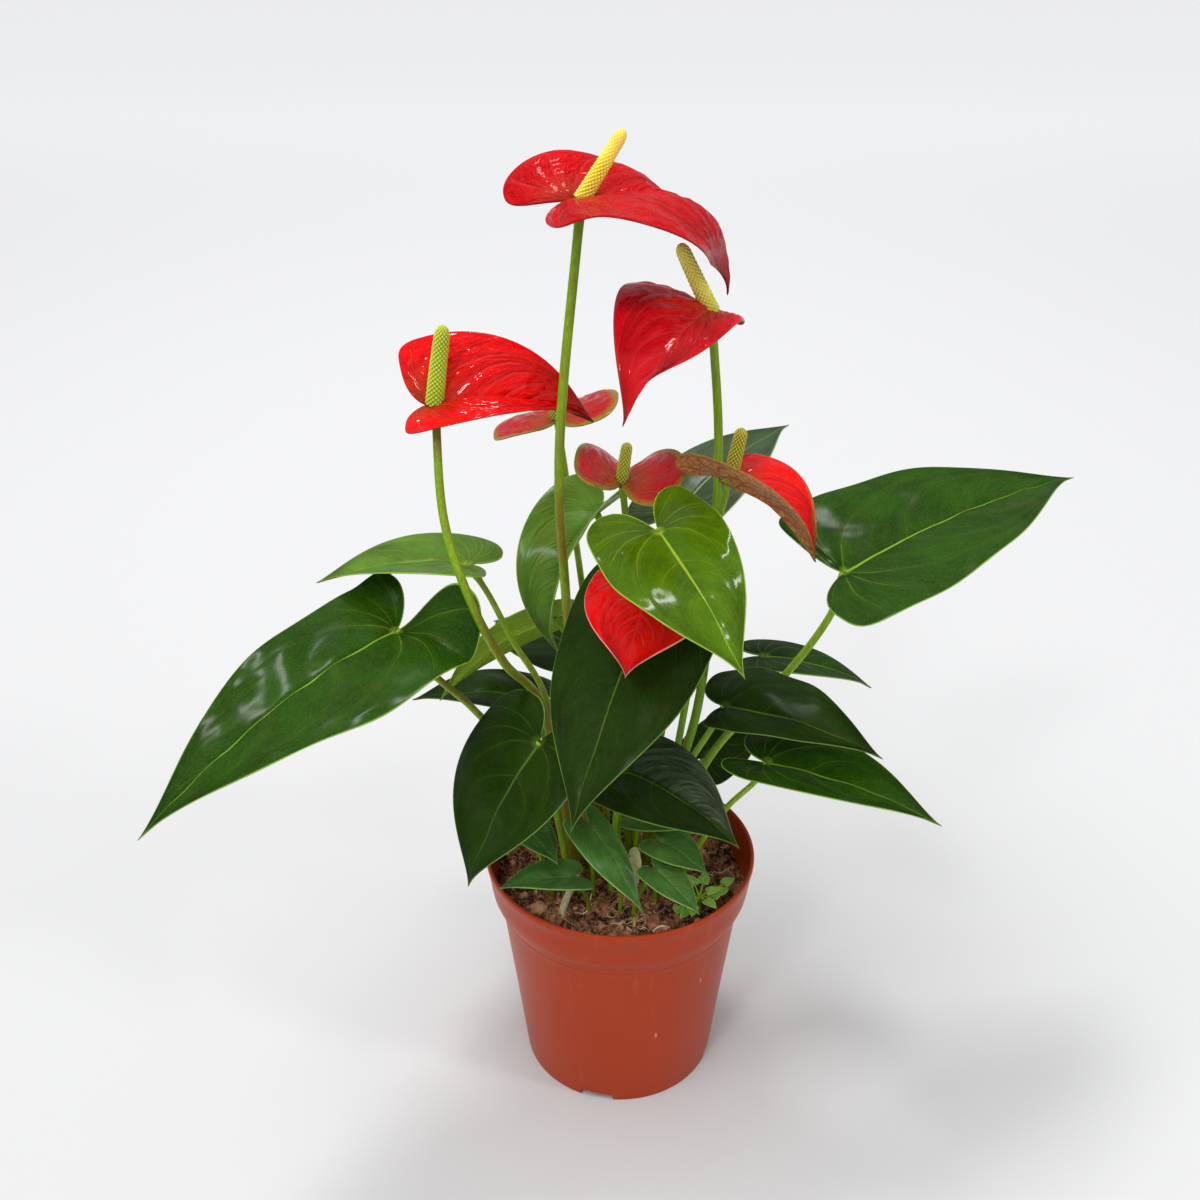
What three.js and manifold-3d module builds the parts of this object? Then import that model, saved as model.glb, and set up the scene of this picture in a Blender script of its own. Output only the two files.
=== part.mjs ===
// A flowering anthurium in a round plastic nursery pot, in millimetres, +Z up.
// The origin is the centre of the pot's foot. The front, the side that shows most flowers, faces -Y.
//
// The plant grows as separate leaves and flowers from a short crown in the soil. Each leaf is one body,
// a heart-shaped blade on its stalk. Each flower is a stalk, a red heart-shaped spathe, and a spadix
// covered in small florets. The stalks stand in plain holes in the soil, which fills the pot.

import * as THREE from "three";
import { mergeVertices } from "three/addons/utils/BufferGeometryUtils.js";
import Module from "manifold-3d";

const wasm = await Module();
wasm.setup();

// Pot
const POT_HEIGHT = 110;
const RIM_RADIUS = 60;
const COLLAR_HEIGHT = 20;
const COLLAR_FOOT_RADIUS = 57.4;
const BODY_TOP_RADIUS = 53.8;
const FOOT_RADIUS = 43.6;
const POT_WALL = 1.3;
const POT_FLOOR = 5;
const POT_SIDES = 40;
const PAD_RADIUS = 15;
const NOTCH_WIDTH = 15;
const NOTCH_HEIGHT = 3.5;
const NOTCH_TURNS = [-104, -14, 76, 166];
const DRAIN_RADIUS = 4;
const DRAIN_RING = 28;
const DRAIN_COUNT = 6;

// Soil
const SOIL_TOP = 93;
const SOIL_CROWN = 3;
const SOIL_LUMP = 1;
const SOIL_RINGS = 4;

// Gap kept between pieces that touch on the real plant, and how far ahead of the joint a spathe's
// stalk and spadix are centred
const SEAT_GAP = 0.3;
const SEAT_AHEAD = 3.5;

// Stalks, from how deep they start in the soil to where they thicken under the blade
const STALK_DEPTH = 14;
const STALK_SIDES = 5;
const STALK_STEP = 22;

// Steps of the line of a midrib from the joint to the tip, and behind the joint, where it carries the
// back lobes
const MIDRIB_STEPS = 100;
const MIDRIB_REAR_STEPS = -60;

// Blades: thickness, and how many pieces their outline has on one side and how many rings
const BLADE_THICKNESS = 0.8;
const LARGE_BLADE = { outline: [5, 3, 2], rings: 3 };
const SPATHE_BLADE = { outline: [5, 3, 2], rings: 4 };
const SMALL_BLADE = { outline: [4, 2, 2], rings: 2 };
const SEEDLING_BLADE = { outline: [3, 2, 1], rings: 1 };

// Spadix
const SPADIX_SIDES = 10;
const SPADIX_STEPS = 11;
const FLORET_RELIEF = 0.3;

const COLOURS = {
  pot: [0x9f3d22, 0.4],
  soil: [0x3d281d, 0.95],
  leaf: [0x2c5c17, 0.35],
  youngLeaf: [0x6d9e1c, 0.3],
  sheath: [0xc9b487, 0.7],
  weed: [0x86b03a, 0.5],
  spathe: [0xc4120f, 0.2],
  stalk: [0x7f9a2c, 0.4],
  spadix: [0xe6d22e, 0.5],
  greenSpadix: [0xb4b636, 0.5],
};

const radians = THREE.MathUtils.degToRad;
const UP = new THREE.Vector3(0, 0, 1);
const point = (list) => new THREE.Vector3(...list);

// Solids: three.js geometry in, manifold-3d solid out, and back.

function toSolid(geometry) {
  const bare = new THREE.BufferGeometry();
  bare.setAttribute("position", geometry.getAttribute("position"));
  if (geometry.index) bare.setIndex(geometry.index);
  const merged = mergeVertices(bare, 1e-4);
  return new wasm.Manifold(
    new wasm.Mesh({
      numProp: 3,
      vertProperties: new Float32Array(merged.attributes.position.array),
      triVerts: new Uint32Array(merged.index.array),
    }),
  );
}

function toGeometry(solid) {
  const { vertProperties, triVerts } = solid.getMesh();
  const geometry = new THREE.BufferGeometry();
  geometry.setAttribute("position", new THREE.BufferAttribute(vertProperties, 3));
  geometry.setIndex(new THREE.BufferAttribute(triVerts, 1));
  geometry.computeVertexNormals();
  return geometry;
}

// The largest of the bodies that a cut leaves.
function largestBody(solid) {
  return solid.decompose().reduce((best, body) => (body.volume() > best.volume() ? body : best));
}

// One half of a heart-shaped blade's outline, from the tip round the widest place and the back lobe
// to just short of the joint. x runs from the joint (0) to the tip (1), y outwards to "half", and the
// lobe reaches "back" behind the joint.
function halfOutline(half, back, [sideSteps, rearSteps, sinusSteps]) {
  const bezier = (...corners) =>
    new THREE.CubicBezierCurve(...corners.map(([x, y]) => new THREE.Vector2(x, y)));
  const side = bezier([1, 0], [0.8, half * 0.1], [0.6, half], [0.1, half]);
  const rear = bezier([0.1, half], [-0.14, half], [-back, half * 0.9], [-back, half * 0.55]);
  const sinus = bezier([-back, half * 0.55], [-back, half * 0.2], [-back * 0.4, half * 0.06], [0, 0]);
  return [
    ...side.getPoints(sideSteps).slice(0, -1),
    ...rear.getPoints(rearSteps).slice(0, -1),
    ...sinus.getPoints(sinusSteps).slice(0, -1),
  ];
}

// How far a curve gets along its base line and above it, after a distance run, when it starts at an
// angle to that line and turns by "rate" for each unit run.
function bent(distance, start, rate) {
  if (Math.abs(rate) < 1e-6) return [distance * Math.cos(start), distance * Math.sin(start)];
  const end = start + rate * distance;
  return [(Math.sin(end) - Math.sin(start)) / rate, (Math.cos(start) - Math.cos(end)) / rate];
}

// The angle a midrib has turned by at x. It turns evenly to its "droop" at the tip, or nearer the tip
// if "late" is above 1, and a "snap" makes that bend sharp and the rest straight. Behind the joint it
// leans the other way.
function midribLean(x, { droop = 25, late = 1, snap = 0 }) {
  const share = Math.abs(x) ** late;
  return (-radians(droop) * Math.sign(x) * share * (1 + snap)) / (1 + snap * share);
}

// The line of a midrib, from behind the joint to the tip at x = 1, in even steps of x: how far it gets
// ahead and up. It is level at the joint.
function midribLine(blade) {
  const line = [new THREE.Vector2(0, 0)];
  for (let step = MIDRIB_REAR_STEPS; step < MIDRIB_STEPS; step++) {
    const x = (step + 0.5) / MIDRIB_STEPS;
    const lean = midribLean(x, blade);
    line.push(new THREE.Vector2(Math.cos(lean), Math.sin(lean)).divideScalar(MIDRIB_STEPS).add(line.at(-1)));
  }
  const joint = line[-MIDRIB_REAR_STEPS].clone();
  return line.map((spot) => spot.sub(joint));
}

// A blade's form in space. The midrib goes from joint to tip and bends down on the way. "roll" turns
// the blade about the line from joint to tip, right side down. Each half leaves the midrib raised by
// "fold" (or by its own "left" and "right", which change to "ends" at the tip) and turns on by "curl"
// to its edge. "twist" turns the far end, right side down. All angles are in degrees. "frill" is the
// height in mm of the "waves" along the edge.
// Lists give a value for the left and the right half: "curls", "shares" of the half width, "lobes",
// which shorten the back lobes, and "lifts", which raise them.
// "place" gives the spot in space of a point of the flat outline.
function bladeForm(blade) {
  const { joint, tip, width, roll = 0, fold = 12, curl = -15, twist = 0 } = blade;
  const { left = fold, right = fold, ends = [left, right], curls = [curl, curl] } = blade;
  const { shares = [1, 1], lobes = [1, 1], lifts = [0, 0], frill = 0, waves = 2.5 } = blade;
  const start = point(joint);
  const ahead = point(tip).sub(start);
  const line = midribLine(blade);
  const dip = line.at(-1).angle() - 2 * Math.PI;
  const length = ahead.length() / line.at(-1).length();
  ahead.normalize();
  const side = new THREE.Vector3().crossVectors(ahead, UP).normalize();
  side.applyAxisAngle(ahead, radians(roll));
  const over = new THREE.Vector3().crossVectors(side, ahead);
  const half = width / 2 / length;
  const back = blade.back / length;

  const place = (spot) => {
    const y = spot.y;
    const hand = y < 0 ? 0 : 1;
    const x = spot.x * (spot.x < 0 ? lobes[hand] : 1);
    const step = x * MIDRIB_STEPS - MIDRIB_REAR_STEPS;
    const nearest = Math.min(Math.floor(step), line.length - 2);
    const spotOnLine = line[nearest].clone().lerp(line[nearest + 1], step - nearest);
    const [along, rise] = spotOnLine.rotateAround(new THREE.Vector2(0, 0), -dip).toArray();
    const angle = midribLean(x, blade) - dip;
    const forward = ahead.clone().multiplyScalar(Math.cos(angle)).addScaledVector(over, Math.sin(angle));
    const spin = radians(twist) * x;
    const across = side.clone().applyAxisAngle(forward, spin);
    const facing = new THREE.Vector3().crossVectors(across, forward);
    const out = Math.abs(y) * shares[hand];
    const near = [left, right][hand];
    const raise = near + (ends[hand] - near) * THREE.MathUtils.clamp(x, 0, 1) ** 1.5;
    const [run, climb] = bent(out, radians(raise), radians(curls[hand]) / half);
    const ruffle = (frill / length) * Math.sin(2 * Math.PI * waves * x + 2 * hand) * (out / half) ** 2;
    const raised = x < 0 ? (lifts[hand] / length) * (x / back) ** 2 : 0;
    return start
      .clone()
      .addScaledVector(ahead, along * length)
      .addScaledVector(over, rise * length)
      .addScaledVector(across, Math.sign(y) * run * length)
      .addScaledVector(facing, (climb + ruffle + raised) * length);
  };
  return { place, half, back, length };
}

// A blade as a closed thin solid: rings of points from the joint out to the outline, the same
// triangles on both faces, and a wall round the edge. The sinus between the lobes stays open.
function bladeGeometry(blade, { outline, rings }, thickness) {
  const { place, half, back } = bladeForm(blade);
  const right = halfOutline(half, back, outline);
  const left = right.slice(1).reverse();
  const rim = [...right, ...left.map((p) => new THREE.Vector2(p.x, -p.y))];
  const points = [place(new THREE.Vector2(0, 0))];
  for (let ring = 1; ring <= rings; ring++) {
    points.push(...rim.map((p) => place(p.clone().multiplyScalar(ring / rings))));
  }
  const at = (ring, spoke) => 1 + (ring - 1) * rim.length + spoke;
  const faces = [];
  rim.forEach((_, spoke) => {
    const next = (spoke + 1) % rim.length;
    if (next === right.length) return;
    faces.push([0, at(1, next), at(1, spoke)]);
    for (let ring = 1; ring < rings; ring++) {
      faces.push([at(ring, spoke), at(ring, next), at(ring + 1, spoke)]);
      faces.push([at(ring, next), at(ring + 1, next), at(ring + 1, spoke)]);
    }
  });
  return thickened(points, faces, thickness);
}

// A sheet of triangles given a thickness: both faces have the same triangles, and its open edges
// get a wall.
function thickened(points, faces, thickness) {
  const normals = points.map(() => new THREE.Vector3());
  const edges = new Map();
  for (const face of faces) {
    const [a, b, c] = face.map((i) => points[i]);
    const normal = new THREE.Vector3().crossVectors(b.clone().sub(a), c.clone().sub(a));
    face.forEach((from, k) => {
      const to = face[(k + 1) % 3];
      normals[from].add(normal);
      edges.set(`${from},${to}`, [from, to]);
    });
  }
  const shifted = (sign) =>
    points.map((p, i) => p.clone().addScaledVector(normals[i].clone().normalize(), (sign * thickness) / 2));
  const count = points.length;
  const triangles = [...faces, ...faces.map(([a, b, c]) => [c + count, b + count, a + count])];
  for (const [a, b] of edges.values()) {
    if (edges.has(`${b},${a}`)) continue;
    triangles.push([a, b + count, b], [a, a + count, b + count]);
  }
  const geometry = new THREE.BufferGeometry().setFromPoints([...shifted(1), ...shifted(-1)]);
  geometry.setIndex(triangles.flat());
  return geometry;
}

// A solid swept along a curve. "radiusAt" gives its radius at a share of the way, at a numbered step
// and side.
function sweptGeometry(curve, steps, sides, radiusAt) {
  const frames = curve.computeFrenetFrames(steps, false);
  const points = [];
  for (let step = 0; step <= steps; step++) {
    const centre = curve.getPointAt(step / steps);
    for (let side = 0; side < sides; side++) {
      const turn = (2 * Math.PI * side) / sides;
      const radius = radiusAt(step / steps, step, side);
      const out = frames.normals[step].clone().multiplyScalar(Math.cos(turn) * radius);
      out.addScaledVector(frames.binormals[step], Math.sin(turn) * radius);
      points.push(centre.clone().add(out));
    }
  }
  const at = (step, side) => step * sides + (side % sides);
  const triangles = [];
  for (let side = 0; side < sides; side++) {
    for (let step = 0; step < steps; step++) {
      triangles.push([at(step, side), at(step, side + 1), at(step + 1, side + 1)]);
      triangles.push([at(step, side), at(step + 1, side + 1), at(step + 1, side)]);
    }
  }
  for (let side = 1; side < sides - 1; side++) {
    triangles.push([at(0, 0), at(0, side + 1), at(0, side)]);
    triangles.push([at(steps, 0), at(steps, side), at(steps, side + 1)]);
  }
  const geometry = new THREE.BufferGeometry().setFromPoints(points);
  geometry.setIndex(triangles.flat());
  return geometry;
}

// A stalk's line: up out of the soil at its root, past the places it is seen at, to the joint.
function stalkCurve({ root, via = [], joint, seat = joint }) {
  const [x, y] = root;
  const line = [[x, y, SOIL_TOP - STALK_DEPTH], [x, y, SOIL_TOP + 6], ...via, seat];
  return new THREE.CatmullRomCurve3(line.map(point), false, "centripetal");
}

// A stalk tapers slowly upwards and swells a little at its end. "spare" widens it evenly.
function stalkGeometry(stem, spare = 0) {
  const curve = stalkCurve(stem);
  const steps = Math.max(5, Math.round(curve.getLength() / STALK_STEP));
  const radiusAt = (share) => stem.radius * (1.15 - 0.25 * share + (share === 1 ? 0.2 : 0)) + spare;
  return sweptGeometry(curve, steps, STALK_SIDES, radiusAt);
}

// A spadix: a slightly bowed finger with a round tip, covered in florets as raised diamonds.
function spadixGeometry({ seat, spadix }) {
  const base = point(seat);
  const reach = point(spadix.reach);
  const bow = new THREE.Vector3().crossVectors(reach, UP).setLength(reach.length() * 0.03);
  const middle = base.clone().addScaledVector(reach, 0.5).add(bow);
  const curve = new THREE.QuadraticBezierCurve3(base, middle, base.clone().add(reach));
  const radiusAt = (share, step, side) => {
    const body = spadix.radius * (1.04 - 0.22 * share);
    const rounding = Math.sqrt(Math.max(0.03, 1 - Math.max(0, (share - 0.86) / 0.14) ** 2));
    const floret = (step + side) % 2 && share > 0 && share < 0.95 ? FLORET_RELIEF : 0;
    return body * rounding + floret;
  };
  return sweptGeometry(curve, SPADIX_STEPS, SPADIX_SIDES, radiusAt);
}

function turnedGeometry(profile) {
  const corners = profile.map(([r, z]) => new THREE.Vector2(r, z));
  return new THREE.LatheGeometry(corners, POT_SIDES).rotateX(Math.PI / 2);
}

// Pot: a thin moulded cup whose upper part flares out into a collar with a rolled lip. Its floor is
// raised inside a skirt with four notches, has drain holes, and rests on a pad at its centre.
const COLLAR_FOOT = POT_HEIGHT - COLLAR_HEIGHT;

function potSolid() {
  const inner = POT_WALL;
  const shoulder = COLLAR_FOOT - 3.5;
  const skirt = FOOT_RADIUS - inner;
  const outside = [
    [0, 0],
    [PAD_RADIUS, 0],
    [PAD_RADIUS + 3, POT_FLOOR - inner],
    [skirt - 1, POT_FLOOR - inner],
    [skirt, 0],
    [FOOT_RADIUS, 0],
    [BODY_TOP_RADIUS, shoulder],
    [BODY_TOP_RADIUS + 1.6, COLLAR_FOOT - 2],
    [COLLAR_FOOT_RADIUS, COLLAR_FOOT],
    [RIM_RADIUS - 0.5, POT_HEIGHT - 3],
    [RIM_RADIUS, POT_HEIGHT - 2],
    [RIM_RADIUS - 0.3, POT_HEIGHT - 0.4],
    [RIM_RADIUS - 0.9, POT_HEIGHT],
  ];
  const inside = [
    [RIM_RADIUS - 0.5 - inner, POT_HEIGHT - 0.6],
    [COLLAR_FOOT_RADIUS - inner, COLLAR_FOOT],
    [BODY_TOP_RADIUS - inner, shoulder],
    [FOOT_RADIUS - inner + 0.6, POT_FLOOR],
    [PAD_RADIUS + 3, POT_FLOOR],
    [PAD_RADIUS, inner],
    [0, inner],
  ];
  let pot = toSolid(turnedGeometry([...outside, ...inside]));
  for (const turn of NOTCH_TURNS) {
    const notch = new THREE.BoxGeometry(8, NOTCH_WIDTH, 2 * NOTCH_HEIGHT);
    notch.translate(FOOT_RADIUS, 0, 0).rotateZ(radians(turn));
    pot = pot.subtract(toSolid(notch));
  }
  for (let i = 0; i < DRAIN_COUNT; i++) {
    const drain = new THREE.CylinderGeometry(DRAIN_RADIUS, DRAIN_RADIUS, 4 * POT_FLOOR, 10);
    drain.rotateX(Math.PI / 2).translate(DRAIN_RING, 0, 0).rotateZ((2 * Math.PI * (i + 0.5)) / DRAIN_COUNT);
    pot = pot.subtract(toSolid(drain));
  }
  return pot;
}

// Soil: fills the pot's hollow, a little higher at the crown, with a lumpy top.
function soilSolid() {
  const gap = SEAT_GAP + POT_WALL;
  const wallTop = SOIL_TOP - COLLAR_FOOT;
  const edge = COLLAR_FOOT_RADIUS - gap + (wallTop * (RIM_RADIUS - COLLAR_FOOT_RADIUS)) / COLLAR_HEIGHT;
  const profile = [
    [0, POT_WALL + SEAT_GAP],
    [PAD_RADIUS - 0.5, POT_WALL + SEAT_GAP],
    [PAD_RADIUS + 2.5, POT_FLOOR + SEAT_GAP],
    [FOOT_RADIUS - gap + 0.5, POT_FLOOR + SEAT_GAP],
    [BODY_TOP_RADIUS - gap, COLLAR_FOOT - 3.5],
    [COLLAR_FOOT_RADIUS - gap, COLLAR_FOOT],
    [edge, SOIL_TOP - 1],
  ];
  for (let ring = SOIL_RINGS - 1; ring >= 0; ring--) {
    const share = ring / SOIL_RINGS;
    profile.push([edge * share, SOIL_TOP + SOIL_CROWN * (1 - share ** 2)]);
  }
  const geometry = turnedGeometry(profile);
  const places = geometry.attributes.position;
  for (let i = 0; i < places.count; i++) {
    const [x, y, z] = [places.getX(i), places.getY(i), places.getZ(i)];
    if (z < SOIL_TOP) continue;
    const lump = Math.sin(x * 0.31 + 1) * Math.sin(y * 0.27) + Math.sin(x * 0.13 - y * 0.19);
    places.setZ(i, z + SOIL_LUMP * lump);
  }
  return toSolid(geometry);
}

// Flowers, each with the joint where its stalk meets its spathe and spadix.
const FLOWERS = [
  {
    name: "flower_1",
    joint: [-19, -5, 392],
    tip: [39, 16, 354],
    width: 64,
    back: 18.5,
    roll: 12,
    left: 24,
    right: 24,
    droop: 98,
    snap: 4,
    lifts: [-5, -11],
    late: 3.5,
    ends: [-90, -58],
    lobes: [1.15, 0.7],
    shares: [0.92, 1.4],
    curls: [-15, -15],
    root: [-12, -7],
    via: [[-19, 3, 180], [-23, 3, 236], [-24, -17, 305]],
    radius: 1.9,
    spadix: { reach: [15, 2, 23], radius: 2.8 },
  },
  {
    name: "flower_2",
    joint: [34, 15, 348],
    tip: [-1, -30, 318],
    width: 58,
    back: 15,
    roll: -24,
    left: 20,
    right: 10,
    droop: 100,
    lobes: [0.9, 1.1],
    ends: [-150, 10],
    shares: [0.4, 1.15],
    curls: [-45, -35],
    twist: -15,
    root: [13, 8],
    via: [[33, 8, 178], [38, 15, 290]],
    radius: 1.9,
    spadix: { reach: [-13, -5, 26], radius: 3.1 },
  },
  {
    name: "flower_3",
    joint: [-74, -5, 318],
    tip: [-11, 8, 307],
    width: 52,
    back: 9,
    roll: 30,
    left: 38,
    right: 18,
    curl: -20,
    droop: 60,
    shares: [1, 0.62],
    lobes: [0.65, 0.8],
    ends: [60, 50],
    green: true,
    root: [-20, -9],
    via: [[-34, -3, 187], [-47, -23, 218], [-58, -36, 253], [-67, -26, 280]],
    radius: 1.8,
    spadix: { reach: [5, -2, 30], radius: 3.3 },
  },
  {
    name: "flower_4",
    joint: [-28, 70, 286],
    tip: [-24, 110, 278],
    width: 58,
    back: 12,
    roll: -18,
    fold: 8,
    curl: -10,
    droop: 40,
    lifts: [5, 0],
    green: true,
    root: [-8, 17],
    via: [[-14, 44, 190], [-24, 66, 262]],
    radius: 1.5,
    spadix: { reach: [-3, 0, 21], radius: 2.8 },
  },
  {
    name: "flower_5",
    joint: [-1, -5, 286],
    tip: [4, 30, 276],
    width: 56,
    back: 13,
    roll: 0,
    curl: -5,
    droop: 50,
    ends: [36, 55],
    shares: [0.76, 0.92],
    right: 16,
    left: 36,
    lifts: [5, -2],
    green: true,
    root: [4, 9],
    via: [[4, 13, 200], [3, 15, 245]],
    radius: 1.5,
    spadix: { reach: [2, -1, 16], radius: 2.4 },
  },
  {
    name: "flower_6",
    joint: [37, -10, 291],
    tip: [72, -30, 265],
    width: 48,
    back: 14,
    roll: 14,
    left: 0,
    right: 56,
    curl: -10,
    droop: 60,
    lifts: [0, -8],
    lobes: [0.15, 0.85],
    ends: [42, 76],
    green: true,
    root: [17, 0],
    via: [[30, 6, 200], [36, 4, 255]],
    radius: 1.5,
    spadix: { reach: [4, 0, 21], radius: 2.8 },
  },
  {
    name: "flower_7",
    joint: [11, -25, 257],
    tip: [0, -65, 235],
    width: 52,
    back: 12,
    roll: 0,
    fold: -4,
    curl: -20,
    droop: 30,
    green: true,
    root: [7, 1],
    via: [[13, 8, 220], [12.5, 5, 248], [12, -14, 259]],
    radius: 1.4,
    spadix: { reach: [0, 2, 13], radius: 2.4 },
  },
];

// Leaves, each with the joint where its stalk meets its blade. The first is the lowest on the left.
const LEAVES = [
  {
    name: "leaf_1",
    joint: [-90, -15, 228],
    tip: [-168, -110, 197],
    width: 72,
    back: 22,
    roll: -6,
    left: 14,
    right: 18,
    curl: -18,
    droop: 30,
    waves: 2.2,
    frill: 1.6,
    lobes: [0.6, 0.6],
    shares: [1.1, 0.8],
    lifts: [62, 26],
    root: [-28, -4],
    via: [[-38, -6, 150], [-62, -6, 186], [-78, -10, 206]],
    radius: 1.6,
  },
  {
    name: "leaf_2",
    joint: [90, 5, 244],
    tip: [202, 70, 260],
    width: 84,
    back: 20,
    roll: 10,
    curl: -15,
    droop: 20,
    lobes: [0.25, 1],
    frill: 1.2,
    shares: [1, 0.94],
    right: 18,
    left: 12,
    root: [24, 5],
    via: [[37, 8, 148], [56, 11, 175], [73, 8, 199], [87, 5, 227]],
    radius: 1.7,
  },
  {
    name: "leaf_3",
    joint: [12, -45, 284],
    tip: [39, -100, 255],
    width: 52,
    back: 18,
    roll: 12,
    curl: -15,
    droop: 35,
    waves: 1.8,
    frill: 1.5,
    shares: [0.82, 1],
    lifts: [3, 3],
    right: 4,
    left: 16,
    root: [12, 17],
    via: [[25, 12, 235], [20, -10, 272]],
    radius: 1.4,
    young: true,
  },
  {
    name: "leaf_4",
    joint: [11, -14, 241],
    tip: [-20, -81, 178],
    width: 66,
    back: 20,
    roll: 4,
    fold: 6,
    curl: -20,
    droop: 20,
    waves: 1.6,
    frill: 1.2,
    root: [-2, -2],
    via: [[4, 2, 200], [8, -4, 230]],
    radius: 1.5,
  },
  {
    name: "leaf_5",
    joint: [-33, -36, 189],
    tip: [-61, -66, 141],
    width: 54,
    back: 17,
    roll: 0,
    fold: 10,
    curl: -20,
    droop: 30,
    shares: [1, 1.25],
    root: [-22, -18],
    via: [[-28, -24, 150], [-32, -32, 176]],
    radius: 1.4,
  },
  {
    name: "leaf_6",
    joint: [-63, 11, 245],
    tip: [-124, 2, 241],
    width: 50,
    back: 15,
    roll: 4,
    fold: 14,
    curl: -10,
    droop: 30,
    lobes: [0.4, 1],
    root: [-18, 5],
    via: [[-33, 2, 190], [-45, 6, 211], [-55, 9, 232]],
    radius: 1.4,
  },
  {
    name: "leaf_7",
    joint: [-10, 42, 254],
    tip: [-27, 20, 198],
    width: 46,
    back: 12,
    roll: 5,
    left: 50,
    right: 36,
    curl: -10,
    droop: 100,
    root: [-6, 8],
    via: [[-6, 28, 180], [-4, 44, 232]],
    radius: 1.4,
  },
  {
    name: "leaf_8",
    joint: [-29, 33, 209],
    tip: [-80, 22, 173],
    width: 34,
    back: 14,
    roll: 55,
    fold: 10,
    droop: 40,
    root: [-16, 15],
    via: [[-13, 26, 170], [-23, 31, 200]],
    radius: 1.3,
  },
  {
    name: "leaf_9",
    joint: [-22, 60, 180],
    tip: [-62, 100, 172],
    width: 56,
    back: 16,
    roll: 0,
    fold: 12,
    droop: 25,
    root: [-10, 28],
    via: [[-16, 46, 160]],
    radius: 1.3,
  },
  {
    name: "leaf_10",
    joint: [-39, 47, 160],
    tip: [-94, 33, 167],
    width: 46,
    back: 16,
    roll: 4,
    fold: 12,
    droop: 25,
    root: [-24, 16],
    via: [[-34, 30, 145]],
    radius: 1.3,
  },
  {
    name: "leaf_11",
    joint: [42, -14, 192],
    tip: [102, -45, 187],
    width: 50,
    back: 14,
    roll: 12,
    fold: 10,
    curl: -15,
    droop: 35,
    frill: 1,
    shares: [1, 0.62],
    lobes: [1, 0.25],
    root: [15, -9],
    via: [[24, -10, 150], [38, -14, 183]],
    radius: 1.4,
  },
  {
    name: "leaf_12",
    joint: [66, 48, 181],
    tip: [115, 40, 169],
    width: 34,
    back: 12,
    roll: -4,
    fold: 10,
    droop: 30,
    root: [28, 26],
    via: [[46, 42, 150], [58, 48, 174]],
    radius: 1.3,
  },
  {
    name: "leaf_13",
    joint: [59, -25, 172],
    tip: [124, -60, 166],
    width: 46,
    back: 14,
    roll: 8,
    droop: 25,
    lifts: [0, 3],
    lobes: [1, 1.1],
    shares: [1, 0.6],
    right: 8,
    left: 14,
    root: [26, -12],
    via: [[44, -20, 145], [56, -24, 163]],
    radius: 1.3,
  },
  {
    name: "leaf_14",
    joint: [40, 22, 144],
    tip: [68, 38, 163],
    width: 28,
    back: 8,
    roll: 50,
    fold: 8,
    droop: 25,
    root: [14, 24],
    via: [[26, 24, 120]],
    radius: 1.2,
  },
  {
    name: "leaf_15",
    joint: [1, -25, 168],
    tip: [46, -60, 155],
    width: 54,
    back: 14,
    roll: 6,
    left: 24,
    right: 6,
    droop: 35,
    lobes: [1, 1.6],
    shares: [0.8, 0.85],
    root: [-4, -14],
    via: [[-2, -20, 145]],
    radius: 1.3,
  },
  {
    name: "leaf_16",
    joint: [26, 46, 256],
    tip: [77, 92, 277],
    width: 48,
    back: 18,
    roll: 0,
    fold: 12,
    droop: 25,
    root: [6, 25],
    via: [[16, 36, 180], [24, 42, 246]],
    radius: 1.3,
  },
];

// Young leaves low over the front of the soil.
const YOUNG_LEAVES = [
  {
    name: "young_leaf_1",
    joint: [-20, -38, 124],
    tip: [-51, -50, 127],
    width: 22,
    back: 6,
    root: [-14, -26],
  },
  {
    name: "young_leaf_2",
    joint: [-40, -28, 142],
    tip: [-26, -46, 136],
    width: 18,
    back: 5,
    root: [-30, -16],
  },
  {
    name: "young_leaf_3",
    joint: [-13, -32, 146],
    tip: [8.5, -56, 119],
    width: 20,
    back: 7,
    root: [-12, -17],
    shares: [0.75, 1.25],
  },
  {
    name: "young_leaf_4",
    joint: [8, -14, 138],
    tip: [28, -29, 140],
    width: 21,
    back: 6,
    root: [5, -9],
    roll: 12,
  },
  { name: "young_leaf_5", joint: [16, -27, 134], tip: [36, -40, 126], width: 24, back: 5, root: [15, -20] },
  { name: "young_leaf_6", joint: [14, -40, 129], tip: [32, -53, 116], width: 20, back: 5, root: [6, -28] },
  {
    name: "young_leaf_7",
    joint: [3, -32, 130],
    tip: [5, -41, 116],
    width: 10,
    back: 3,
    root: [0, -25],
    young: true,
  },
];

// Pale dry leaf sheath standing out of the soil.
const SHEATH = { root: [-25, -29], joint: [-18, -24, 115], radius: 1.5 };

// Weed seedling: small round leaves on short stems from the top of one stem, near the front right.
const SEEDLING = { root: [34, -27], joint: [34, -26, 103], radius: 0.8 };
const SEEDLING_LEAVES = [
  { joint: [29, -29, 104], tip: [23, -31, 105] },
  { joint: [31, -33, 103], tip: [30, -39, 103] },
  { joint: [37, -30, 104], tip: [41, -35, 104] },
  { joint: [38, -25, 105], tip: [44, -24, 106] },
  { joint: [36, -21, 107], tip: [38, -15, 108] },
  { joint: [32, -22, 107], tip: [29, -17, 108] },
].map((leaf) => ({ width: 5, back: 1, droop: 20, ...leaf }));

const meshOf = (name, geometry, [color, roughness]) => {
  const mesh = new THREE.Mesh(geometry, new THREE.MeshStandardMaterial({ color, roughness }));
  mesh.name = name;
  return mesh;
};

const plant = new THREE.Group();
const stalks = [];

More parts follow.
